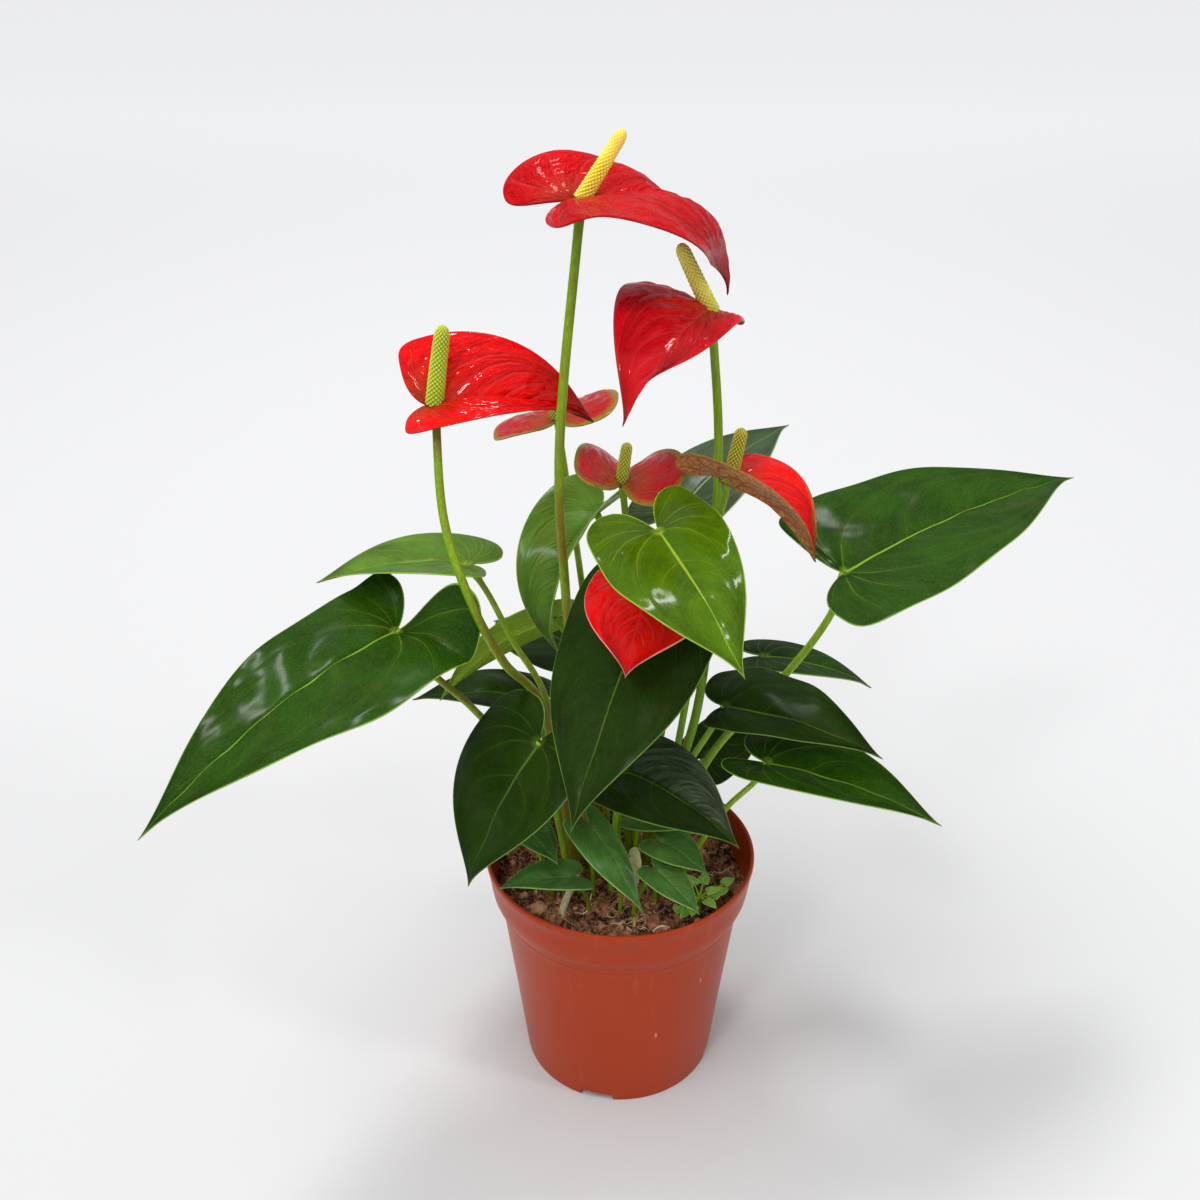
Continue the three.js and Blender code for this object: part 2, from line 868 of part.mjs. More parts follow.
for (const record of FLOWERS) {
  const { place, length } = bladeForm(record);
  const flower = { ...record, seat: place(new THREE.Vector2(SEAT_AHEAD / length, 0)).toArray() };
  const spathe = toSolid(bladeGeometry(flower, SPATHE_BLADE, BLADE_THICKNESS));
  const clearance = toSolid(bladeGeometry(flower, SPATHE_BLADE, BLADE_THICKNESS + 2 * SEAT_GAP));
  const stalk = largestBody(toSolid(stalkGeometry(flower)).subtract(clearance));
  const spadix = largestBody(toSolid(spadixGeometry(flower)).subtract(clearance));
  stalks.push(flower);
  plant.add(
    meshOf(`${flower.name}_spathe`, toGeometry(spathe), COLOURS.spathe),
    meshOf(`${flower.name}_spadix`, toGeometry(spadix), flower.green ? COLOURS.greenSpadix : COLOURS.spadix),
    meshOf(`${flower.name}_stalk`, toGeometry(stalk), COLOURS.stalk),
  );
}

// A leaf's blade and stalk as one solid.
function leafSolid(leaf, detail) {
  return toSolid(bladeGeometry(leaf, detail, BLADE_THICKNESS)).add(toSolid(stalkGeometry(leaf)));
}

for (const leaf of [...LEAVES, ...YOUNG_LEAVES.map((leaf) => ({ radius: 0.9, small: true, ...leaf }))]) {
  const solid = leafSolid(leaf, leaf.small ? SMALL_BLADE : LARGE_BLADE);
  stalks.push(leaf);
  plant.add(meshOf(leaf.name, toGeometry(solid), leaf.young ? COLOURS.youngLeaf : COLOURS.leaf));
}

let seedling = toSolid(stalkGeometry(SEEDLING));
for (const leaf of SEEDLING_LEAVES) {
  const stem = new THREE.LineCurve3(point(SEEDLING.joint), point(leaf.joint));
  seedling = seedling.add(toSolid(sweptGeometry(stem, 1, 4, () => 0.6)));
  seedling = seedling.add(toSolid(bladeGeometry(leaf, SEEDLING_BLADE, BLADE_THICKNESS)));
}
plant.add(meshOf("seedling", toGeometry(seedling), COLOURS.weed));
plant.add(meshOf("dry_sheath", stalkGeometry(SHEATH), COLOURS.sheath));
stalks.push(SEEDLING, SHEATH);

let soil = soilSolid();
for (const stem of stalks) soil = soil.subtract(toSolid(stalkGeometry(stem, SEAT_GAP)));
plant.add(meshOf("soil", toGeometry(largestBody(soil)), COLOURS.soil));
plant.add(meshOf("pot", toGeometry(potSolid()), COLOURS.pot));

export default plant;
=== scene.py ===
import bpy
import numpy as np
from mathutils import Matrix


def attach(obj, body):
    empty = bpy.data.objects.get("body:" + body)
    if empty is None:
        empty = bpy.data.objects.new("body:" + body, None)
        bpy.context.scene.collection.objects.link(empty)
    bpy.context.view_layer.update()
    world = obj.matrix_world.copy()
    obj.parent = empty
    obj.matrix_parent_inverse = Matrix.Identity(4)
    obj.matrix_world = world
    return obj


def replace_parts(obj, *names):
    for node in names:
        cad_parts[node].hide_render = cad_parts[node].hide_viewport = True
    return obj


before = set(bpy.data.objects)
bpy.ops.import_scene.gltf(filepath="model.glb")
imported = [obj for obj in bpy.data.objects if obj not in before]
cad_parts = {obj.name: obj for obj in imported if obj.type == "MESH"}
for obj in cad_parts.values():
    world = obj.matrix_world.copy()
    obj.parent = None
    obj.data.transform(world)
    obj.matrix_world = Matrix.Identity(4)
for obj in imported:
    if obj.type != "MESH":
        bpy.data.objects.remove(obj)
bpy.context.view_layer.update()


# Pot: a thin cup of terracotta orange plastic, moulded in one piece, with a flared collar, a rolled
# lip, a raised floor with drain holes, and four notches in the foot. It is smooth, with a few scuffs
# and specks of dried water.
pot_height, rim_radius = 110, 60
collar_foot, collar_radius, body_radius, foot_radius = 90, 57.4, 53.8, 43.6
pot_wall, pot_floor, pad_radius = 1.3, 5, 15
notch_width, notch_height, notch_turns = 15, 3.5, (-104, -14, 76, 166)
drain_radius, drain_ring, drain_count = 4, 28, 6


def net(rows, columns, closed=False):
    """Two triangles for each cell of a grid of points, whose last column meets its first if closed."""
    row, column = np.meshgrid(np.arange(rows - 1), np.arange(columns - (not closed)), indexing="ij")
    corner = row * columns + column
    beside = row * columns + (column + 1) % columns
    beyond, opposite = corner + columns, beside + columns
    halves = (corner, beside, opposite), (corner, opposite, beyond)
    return np.concatenate([np.stack(half, -1).reshape(-1, 3) for half in halves])


def new_mesh(name, points, faces, material, **fields):
    """A smooth mesh object from points in millimetres, with fields of one number for each point.
    Points that lie in one place are joined. Faces that this leaves with no area are dropped, and so
    are pairs of faces that it leaves back to back."""
    _, first, place = np.unique(np.round(points, 4), axis=0, return_index=True, return_inverse=True)
    faces = place.reshape(-1)[faces]
    faces = faces[(faces != np.roll(faces, 1, axis=1)).all(1)]
    _, twin, uses = np.unique(np.sort(faces, axis=1), axis=0, return_inverse=True, return_counts=True)
    faces = faces[uses[twin.reshape(-1)] == 1]
    mesh = bpy.data.meshes.new(name)
    mesh.from_pydata((points[first] / 1000).tolist(), [], faces.tolist(), shade_flat=False)
    for label, values in fields.items():
        values = np.broadcast_to(values, len(points))[first].astype(np.float32)
        mesh.attributes.new(label, "FLOAT", "POINT").data.foreach_set("value", values)
    mesh.materials.append(material)
    made = bpy.data.objects.new(name, mesh)
    bpy.context.scene.collection.objects.link(made)
    return made


def turned(profile, sides):
    """A profile of radius and height carried round the upright axis: x = r cos a, y = r sin a."""
    turn = np.arange(sides) * 2 * np.pi / sides
    radius, height = np.array(profile, float).T
    x = radius[:, None] * np.cos(turn)
    y = radius[:, None] * np.sin(turn)
    z = np.broadcast_to(height[:, None], x.shape)
    return np.stack([x, y, z], -1).reshape(-1, 3), net(len(profile), sides, closed=True)


class Value:
    """A socket of a material's nodes. Values add, subtract and multiply as numbers do, and each
    result is the socket of a new node."""

    def __init__(self, socket):
        self.socket = socket

    def node(self, kind, inputs, output=0, **settings):
        """Another node of the same material, with its settings and then its inputs."""
        tree = self.socket.id_data
        made = tree.nodes.new(kind)
        stops = settings.pop("stops", ())
        for key, setting in settings.items():
            setattr(made, key, setting)
        for at, (share, colour) in enumerate(stops):
            while len(made.color_ramp.elements) <= at:
                made.color_ramp.elements.new(1)
            made.color_ramp.elements[at].position = share
            made.color_ramp.elements[at].color = (*colour, 1)
        for key, given in inputs.items():
            if isinstance(given, Value):
                tree.links.new(given.socket, made.inputs[key])
            else:
                made.inputs[key].default_value = given
        return Value(made.outputs[output])

    def maths(self, operation, *others):
        """This value through a maths operation, with other values or numbers."""
        return self.node("ShaderNodeMath", dict(enumerate((self, *others))), operation=operation)

    def __add__(self, other):
        return self.maths("ADD", other)

    def __sub__(self, other):
        return self.maths("SUBTRACT", other)

    def __mul__(self, other):
        return self.maths("MULTIPLY", other)

    def __rsub__(self, other):
        return self.node("ShaderNodeMath", {0: other, 1: self}, operation="SUBTRACT")

    __radd__, __rmul__ = __add__, __mul__

    def step(self, low, high):
        """0 up to low, 1 from high on, and a smooth rise between. It falls where low is above high."""
        if low > high:
            return 1 - self.step(high, low)
        inputs = {"Value": self, "From Min": low, "From Max": high}
        return self.node("ShaderNodeMapRange", inputs, interpolation_type="SMOOTHSTEP")

    def tint(self, first, second):
        """A colour that goes from the first to the second as this value goes from 0 to 1. The node's
        colour sockets share their names with others, so they are taken by number."""
        inputs = {"Factor": self}
        for key, colour in ((6, first), (7, second)):
            inputs[key] = colour if isinstance(colour, Value) else (*colour, 1)
        return self.node("ShaderNodeMix", inputs, output=2, data_type="RGBA")

    def noise(self, scale, detail=3, roughness=0.5):
        """Noise from 0 to 1 at this place, with about that many clouds in each unit of it."""
        inputs = {"Vector": self, "Scale": scale, "Detail": detail, "Roughness": roughness}
        return self.node("ShaderNodeTexNoise", inputs)


def finish(name, **constants):
    """A material and its principled shader, with the constants set on the shader's own sockets."""
    material = bpy.data.materials.new(name)
    material.use_nodes = True
    shader = material.node_tree.nodes["Principled BSDF"]
    for key, constant in constants.items():
        shader.inputs[key.replace("_", " ")].default_value = constant
    return material, shader


def place_of(material):
    """Where a point lies on the piece, in metres."""
    node = material.node_tree.nodes.new("ShaderNodeTexCoord")
    return Value(node.outputs["Object"])


def field(material, label):
    """A field of numbers that the mesh holds for its points."""
    node = material.node_tree.nodes.new("ShaderNodeAttribute")
    node.attribute_name = label
    return Value(node.outputs["Fac"])


def feed(shader, colour=None, roughness=None, height=None, depth=0.001, strength=1.0):
    """Links what varies over a surface to its shader. The height is in shares of depth, in metres,
    and goes in as bump."""
    tree = shader.id_data
    if colour:
        tree.links.new(colour.socket, shader.inputs["Base Color"])
    if roughness:
        tree.links.new(roughness.socket, shader.inputs["Roughness"])
    if height:
        inputs = {"Height": height, "Distance": depth, "Strength": strength}
        bump = height.node("ShaderNodeBump", inputs)
        tree.links.new(bump.socket, shader.inputs["Normal"])


pot_plastic, shader = finish("pot_plastic", Coat_Weight=0.06, Coat_Roughness=0.3, Specular_IOR_Level=0.16)
place = place_of(pot_plastic)
cloud = place.noise(28)
grain = place.noise(900, detail=2)
stretched = place.node("ShaderNodeMapping", {"Vector": place, "Scale": (1, 1, 0.35)})
speck = stretched.node("ShaderNodeTexVoronoi", {"Vector": stretched, "Scale": 75}, feature="F1")
speck = speck.step(0.075, 0.04) * place.noise(60).step(0.46, 0.54)
drawn = place.node("ShaderNodeMapping", {"Vector": place, "Scale": (1, 1, 0.06)})
streak = drawn.noise(260).step(0.62, 0.75)
colour = cloud.tint((0.36, 0.034, 0.004), (0.42, 0.044, 0.007))
colour = (streak * 0.16).tint(colour, (0.62, 0.2, 0.1))
colour = (speck * 0.75).tint(colour, (0.85, 0.6, 0.45))
roughness = 0.3 + cloud * 0.12 + speck * 0.25 + streak * 0.08
feed(shader, colour, roughness, cloud * 0.7 + grain * 0.12 + speck * 0.3, 0.0004)

outer_profile = [
    (0, 0), (pad_radius - 0.5, 0), (pad_radius + 0.4, 0.2), (pad_radius + 3, pot_floor - pot_wall),
    (foot_radius - pot_wall - 1, pot_floor - pot_wall), (foot_radius - pot_wall, 0.3),
    (foot_radius - pot_wall + 0.3, 0), (foot_radius - 0.4, 0), (foot_radius, 0.4), (44.1, 4), (48.6, 43),
    (body_radius - 0.5, collar_foot - 8.5), (body_radius - 0.15, collar_foot - 6.5),
    (body_radius + 0.05, collar_foot - 6), (body_radius + 0.1, collar_foot - 5.6),
    (body_radius + 0.05, collar_foot - 5.2), (body_radius + 0.4, collar_foot - 3.8),
    (body_radius + 1.2, collar_foot - 2.2), (body_radius + 2.3, collar_foot - 0.6),
    (collar_radius - 0.5, collar_foot + 1.2), (collar_radius + 0.2, collar_foot + 3.2), (58.2, 97),
    (58.9, 102), (rim_radius - 0.6, pot_height - 3.4), (rim_radius - 0.15, pot_height - 2.7),
    (rim_radius, pot_height - 2), (rim_radius - 0.02, pot_height - 1),
    (rim_radius - 0.2, pot_height - 0.3), (rim_radius - 0.6, pot_height),
]
inner_profile = [
    (rim_radius - 1.2, pot_height), (rim_radius - 1.7, pot_height - 0.5),
    (rim_radius - 1.9, pot_height - 2), (57, 97), (collar_radius - 1.6, collar_foot + 3),
    (body_radius + 0.4, collar_foot - 0.4), (body_radius - pot_wall, collar_foot - 4.5),
    (foot_radius - pot_wall + 0.6, pot_floor), (pad_radius + 3, pot_floor), (pad_radius, pot_wall),
    (0, pot_wall),
]
pot_shell = new_mesh("pot_shell", *turned(outer_profile + inner_profile, 160), pot_plastic)


def box_cutter(name, low, high, turn, out):
    """A box between two corners, carried out along x and then turned about the upright axis."""
    share = np.array([[corner >> 2 & 1, corner >> 1 & 1, corner & 1] for corner in range(8)])
    x, y, z = (np.array(low) + share * np.subtract(high, low)).T
    x, turn = x + out, np.radians(turn)
    points = [x * np.cos(turn) - y * np.sin(turn), x * np.sin(turn) + y * np.cos(turn), z]
    faces = [(0, 1, 3, 2), (4, 6, 7, 5), (0, 4, 5, 1), (2, 3, 7, 6), (0, 2, 6, 4), (1, 5, 7, 3)]
    return new_mesh(name, np.stack(points, -1), np.array(faces), pot_plastic)


notch_corner = np.array([4, notch_width / 2, notch_height])
cutters = [box_cutter("notch", -notch_corner, notch_corner, turn, foot_radius) for turn in notch_turns]
points, faces = turned([(0, -2), (drain_radius, -2), (drain_radius, 9), (0, 9)], 25)
for drain in range(drain_count):
    turn = 2 * np.pi * (drain + 0.5) / drain_count
    middle = [drain_ring * np.cos(turn), drain_ring * np.sin(turn), 0]
    cutters.append(new_mesh("drain", points + middle, faces, pot_plastic))
for cutter in cutters:
    cut = pot_shell.modifiers.new("cut", "BOOLEAN")
    cut.operation = "DIFFERENCE"
    cut.solver = "EXACT"
    cut.object = cutter
scene_now = bpy.context.evaluated_depsgraph_get()
cut_mesh = bpy.data.meshes.new_from_object(pot_shell.evaluated_get(scene_now))
pot_shell.modifiers.clear()
pot_shell.data = cut_mesh
for cutter in cutters:
    bpy.data.objects.remove(cutter)
pot_shell.data.set_sharp_from_angle(angle=np.radians(35))
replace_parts(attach(pot_shell, "root"), "pot")


# Soil: coarse coir potting soil, filled in by hand and settled by watering. Crumbs and short brown,
# reddish and straw-coloured fibres lie loose on top, with a few white root tips among them.
soil_top, soil_crown = 93, 3
flare = (soil_top - collar_foot) * (rim_radius - collar_radius) / (pot_height - collar_foot)
soil_edge = collar_radius - 0.3 - pot_wall + flare


def swell(points, wavelength, seed):
    """Smooth uneven relief: the sum of 20 sine waves in chance directions, about from -1 to 1."""
    chance = np.random.default_rng(seed)
    directions = chance.normal(size=(20, points.shape[-1]))
    directions /= np.linalg.norm(directions, axis=1)[:, None]
    reach = 2 * np.pi / (wavelength * chance.uniform(0.7, 1.5, 20))
    phases = chance.uniform(0, 2 * np.pi, 20)
    return np.sin(points @ (directions * reach[:, None]).T + phases).sum(-1) / np.sqrt(20)


def soil_height(x, y):
    """The crowned top of the soil with its lumps: large, middle and small swells added up."""
    flat = np.stack([x, y], -1)
    share = np.hypot(x, y) / soil_edge
    crown = soil_top + soil_crown * (1 - share**2)
    waves = np.sin(x * 0.31 + 1) * np.sin(y * 0.27) + np.sin(x * 0.13 - y * 0.19)
    lumps = crown + waves + 0.9 * swell(flat, 9, 11)
    return lumps + 0.6 * swell(flat, 3.5, 12) + 0.35 * swell(flat, 1.6, 13)


soil_coir, shader = finish("soil_coir", Specular_IOR_Level=0.25)
place = place_of(soil_coir)
shade = field(soil_coir, "shade")
patch = place.noise(120, detail=6, roughness=0.7)
threads = place.node("ShaderNodeTexVoronoi", {"Vector": place, "Scale": 900}, feature="DISTANCE_TO_EDGE")
crevice_and_shade = place.node("ShaderNodeTexVoronoi", {"Vector": place, "Scale": 260}, feature="F1").step(0.1, 0.75)
patch = patch * 0.6 + place.noise(420, detail=3) * 0.4
colour = patch.step(0.43, 0.58).tint((0.045, 0.017, 0.009), (0.66, 0.29, 0.15))
# Darker in the crevices between the lumps: painted shade.
colour = (crevice_and_shade * 0.5).tint(colour, (0.045, 0.017, 0.009))
colour = (shade * 0.8).tint(colour, (0.85, 0.42, 0.24))
feed(shader, colour, 0.75 + patch * 0.2, patch + threads * 0.4 - crevice_and_shade * 0.5, 0.0014)

rings, spokes = 110, 260
radius = np.linspace(0, soil_edge, rings)
turn = np.arange(spokes) * 2 * np.pi / spokes
x, y = radius[:, None] * np.cos(turn), radius[:, None] * np.sin(turn)
top = np.stack([x, y, soil_height(x, y)], -1).reshape(-1, 3)
side_profile = [
    (collar_radius - 1.9, collar_foot + 2.9), (body_radius, collar_foot - 0.4),
    (body_radius - 1.7, collar_foot - 4.5), (foot_radius - 1.1, pot_floor + 0.3),
    (pad_radius + 2.5, pot_floor + 0.3), (pad_radius - 0.5, 1.6), (0, 1.6),
]
sides, _ = turned(side_profile, spokes)
faces = net(rings + len(side_profile), spokes, closed=True)[:, ::-1]
soil_body = new_mesh("soil_body", np.concatenate([top, sides]), faces, soil_coir, shade=0)
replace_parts(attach(soil_body, "root"), "soil")

golden = (1 + 5**0.5) / 2
lump = np.array([(a, b * golden, 0) for a in (-1, 1) for b in (-1, 1)])
lump = np.concatenate([lump, lump[:, [2, 0, 1]], lump[:, [1, 2, 0]]]) / 1.9
lump_faces = np.array([
    (0, 8, 4), (0, 5, 10), (2, 4, 9), (2, 11, 5), (1, 6, 8), (1, 10, 7), (3, 9, 6), (3, 7, 11), (0, 10, 8),
    (1, 8, 10), (2, 9, 11), (3, 11, 9), (4, 2, 0), (5, 0, 2), (6, 1, 3), (7, 3, 1), (8, 6, 4), (9, 4, 6),
    (10, 5, 7), (11, 7, 5),
])
chance = np.random.default_rng(21)
crumbs = 1700
reach = (soil_edge - 1.5) * np.sqrt(chance.uniform(0, 1, crumbs))
turn = chance.uniform(0, 2 * np.pi, crumbs)
x, y = reach * np.cos(turn), reach * np.sin(turn)
size = 0.4 + 1.5 * chance.uniform(0, 1, crumbs) ** 5
stretch = chance.uniform(0.5, 1.3, (crumbs, 1, 3))
knobs = 1 + 0.3 * chance.normal(size=(crumbs, 12, 1)).clip(-1, 1)
points = lump * knobs * stretch * size[:, None, None]
points = points + np.stack([x, y, soil_height(x, y) + size * 0.2], -1)[:, None]
faces = (lump_faces + np.arange(crumbs)[:, None, None] * 12).reshape(-1, 3)
shade = np.repeat(chance.uniform(0, 1, crumbs) ** 2, 12)
soil_crumbs = new_mesh("soil_crumbs", points.reshape(-1, 3), faces, soil_coir, shade=shade)
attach(soil_crumbs, "root")


up = np.array([0, 0, 1.0])


def strands(name, material, seed, count, lengths, thickness, rise):
    """Loose threads on the soil: each starts at a chance place and runs on in a curve with a little
    arch, as a tube of three sides that narrows to both ends."""
    chance = np.random.default_rng(seed)
    steps = 9
    share = np.linspace(0, 1, steps)
    reach = (soil_edge - 3) * np.sqrt(chance.uniform(0, 1, count))
    turn = chance.uniform(0, 2 * np.pi, count)
    heading = chance.uniform(0, 2 * np.pi, count)[:, None] + chance.normal(0, 1.1, (count, 1)) * share
    heading += 0.5 * np.sin(share * 5 + chance.uniform(0, 6, (count, 1)))
    length = chance.uniform(*lengths, count)[:, None] / (steps - 1)
    x = reach[:, None] * np.cos(turn)[:, None] + np.cumsum(np.cos(heading) * length, 1)
    y = reach[:, None] * np.sin(turn)[:, None] + np.cumsum(np.sin(heading) * length, 1)
    pull = np.minimum(1, (soil_edge - 1.2) / np.hypot(x, y).max(1))[:, None]
    x, y = x * pull, y * pull
    arch = chance.uniform(0.1, rise, (count, 1)) * np.sin(np.pi * share)
    z = soil_height(x, y) + 0.15 + arch
    width = chance.uniform(*thickness, (count, 1)) * (0.35 + 0.65 * np.sin(np.pi * share.clip(0.05, 0.95)))
    across = np.stack([-np.sin(heading), np.cos(heading), np.zeros_like(heading)], -1)
    corner = np.array([0, 1, 2]) * 2 * np.pi / 3 + np.pi / 2
    out = across[:, :, None] * np.cos(corner)[:, None] + up * np.sin(corner)[:, None]
    points = np.stack([x, y, z], -1)[:, :, None] + out * width[:, :, None, None]
    tube = net(steps, 3, closed=True)
    last = (steps - 1) * 3
    tube = np.concatenate([tube, [[0, 2, 1], [last, last + 1, last + 2]]])
    faces = (tube + np.arange(count)[:, None, None] * steps * 3).reshape(-1, 3)
    shade = np.repeat(chance.uniform(0, 1, count), steps * 3)
    made = new_mesh(name, points.reshape(-1, 3), faces, material, shade=shade)
    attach(made, "root")


fibre_bark, shader = finish("fibre_bark", Roughness=0.7, Specular_IOR_Level=0.3)
fibre_stops = [
    (0, (0.2, 0.07, 0.04)), (0.5, (0.55, 0.23, 0.13)), (0.82, (0.8, 0.45, 0.27)), (0.94, (0.95, 0.8, 0.6)),
]
shade = field(fibre_bark, "shade")
feed(shader, shade.node("ShaderNodeValToRGB", {"Fac": shade}, stops=fibre_stops))
root_skin, shader = finish("root_skin", Roughness=0.5)
feed(shader, field(root_skin, "shade").tint((0.7, 0.52, 0.3), (0.9, 0.85, 0.72)))
strands("soil_fibres", fibre_bark, seed=31, count=900, lengths=(3, 10), thickness=(0.1, 0.24), rise=1.4)
strands("root_tips", root_skin, seed=32, count=22, lengths=(4, 11), thickness=(0.2, 0.36), rise=1)


# Leaves: heart-shaped blades, thin and leathery, each grown in one piece with its own stalk. The
# midrib and the side veins lie sunk in the glossy upper face and stand out on the dull lower one.
def bent(distance, start, rate):
    """A line that sets out at an angle and turns at an even rate: how far along it gets, and how high."""
    rate = np.where(np.abs(rate) < 1e-6, 1e-6, rate)
    end = start + rate * distance
    return (np.sin(end) - np.sin(start)) / rate, (np.cos(start) - np.cos(end)) / rate


def blade_form(
    joint, tip, width, back, roll=0, droop=25, fold=12, curl=-15, twist=0, left=None, right=None,
    curls=None, shares=(1, 1), lobes=(1, 1), lifts=(0, 0), ends=None, late=1, snap=0, frill=0, waves=2.5,
):
    """The bent middle sheet of a blade. In shares of its length, x runs along the midrib from the
    joint and y across it to the right. The midrib droops by an angle that grows as x to the power
    late, sooner where it snaps, and both its ends are where the joint and the tip are. From it each
    half goes out along an arc of its own that starts at its fold angle and curls evenly. The fold may
    change as x to the power 1.5 towards the tip, and the whole turns about the midrib by the twist.
    Behind the joint the lobes may be shorter or raised, and a frill waves the margin."""
    joint, tip = np.array(joint, float), np.array(tip, float)

    def lean_at(x):
        share = np.abs(x) ** late
        return -np.radians(droop) * np.sign(x) * share * (1 + snap) / (1 + snap * share)

    joint_mark = 60
    marks = np.linspace(-0.6, 1, joint_mark + 101)
    leans = lean_at(marks)
    middles = (leans[1:] + leans[:-1]) / 2
    steps = np.stack([np.cos(middles), np.sin(middles)], -1) * (marks[1] - marks[0])
    line = np.concatenate([[(0, 0)], np.cumsum(steps, axis=0)])
    line -= line[joint_mark]
    start = -np.arctan2(line[-1, 1], line[-1, 0])
    chord = np.linalg.norm(tip - joint)
    length = chord / np.linalg.norm(line[-1])
    ahead = (tip - joint) / chord
    level = np.cross(ahead, up)
    level /= np.linalg.norm(level)
    side = level * np.cos(np.radians(roll)) + np.cross(ahead, level) * np.sin(np.radians(roll))
    over = np.cross(side, ahead)
    half, rear = width / 2 / length, back / length
    folds = np.radians([fold if left is None else left, fold if right is None else right])
    ends = folds if ends is None else np.radians(ends)
    rates = np.radians(curls or (curl, curl)) / half

    def place(x, y):
        hand = (y >= 0).astype(int)
        x = x * np.where(x < 0, np.array(lobes)[hand], 1)
        run, climb = (np.interp(x, marks, line[:, axis]) for axis in (0, 1))
        along = run * np.cos(start) - climb * np.sin(start)
        rise = run * np.sin(start) + climb * np.cos(start)
        lean = (start + lean_at(x))[..., None]
        forward = ahead * np.cos(lean) + over * np.sin(lean)
        spin = (np.radians(twist) * x)[..., None]
        across = side * np.cos(spin) + np.cross(forward, side) * np.sin(spin)
        facing = np.cross(across, forward)
        out = np.abs(y) * np.array(shares)[hand]
        run, climb = bent(out, folds[hand] + (ends - folds)[hand] * x.clip(0, 1) ** 1.5, rates[hand])
        climb += frill / length * np.sin(2 * np.pi * waves * x + 2 * hand) * (out / half) ** 2
        climb += np.where(x < 0, np.array(lifts)[hand] / length * (x / rear) ** 2, 0)
        spread = across * (np.sign(y) * run)[..., None] + facing * climb[..., None]
        return joint + length * (ahead * along[..., None] + over * rise[..., None] + spread)

    return place, half, rear, length


def heart_edge(half, rear, counts):
    """Half of a heart's outline, from the tip to the joint, as points on three cubic curves: the side
    to the widest place, the round of the lobe, and the notch behind the joint."""
    sweeps = (
        ((1, 0), (0.8, half * 0.1), (0.6, half), (0.1, half)),
        ((0.1, half), (-0.14, half), (-rear, half * 0.9), (-rear, half * 0.55)),
        ((-rear, half * 0.55), (-rear, half * 0.2), (-rear * 0.4, half * 0.06), (0, 0)),
    )
    points = []
    for (start, early, late, stop), count in zip(sweeps, counts):
        done = np.arange(count)[:, None] / count
        rest = 1 - done
        early, late = 3 * np.array(early), 3 * np.array(late)
        points.append(rest**3 * start + rest**2 * done * early + rest * done**2 * late + done**3 * stop)
    return np.concatenate(points)


def distance_to_line(points, line):
    """How far points in a plane are from the nearest stretch of a line."""
    run = np.diff(line, axis=0)
    away = points[..., None, :] - line[:-1]
    share = ((away * run).sum(-1) / (run**2).sum(-1)).clip(0, 1)
    return np.linalg.norm(away - share[..., None] * run, axis=-1).min(-1)


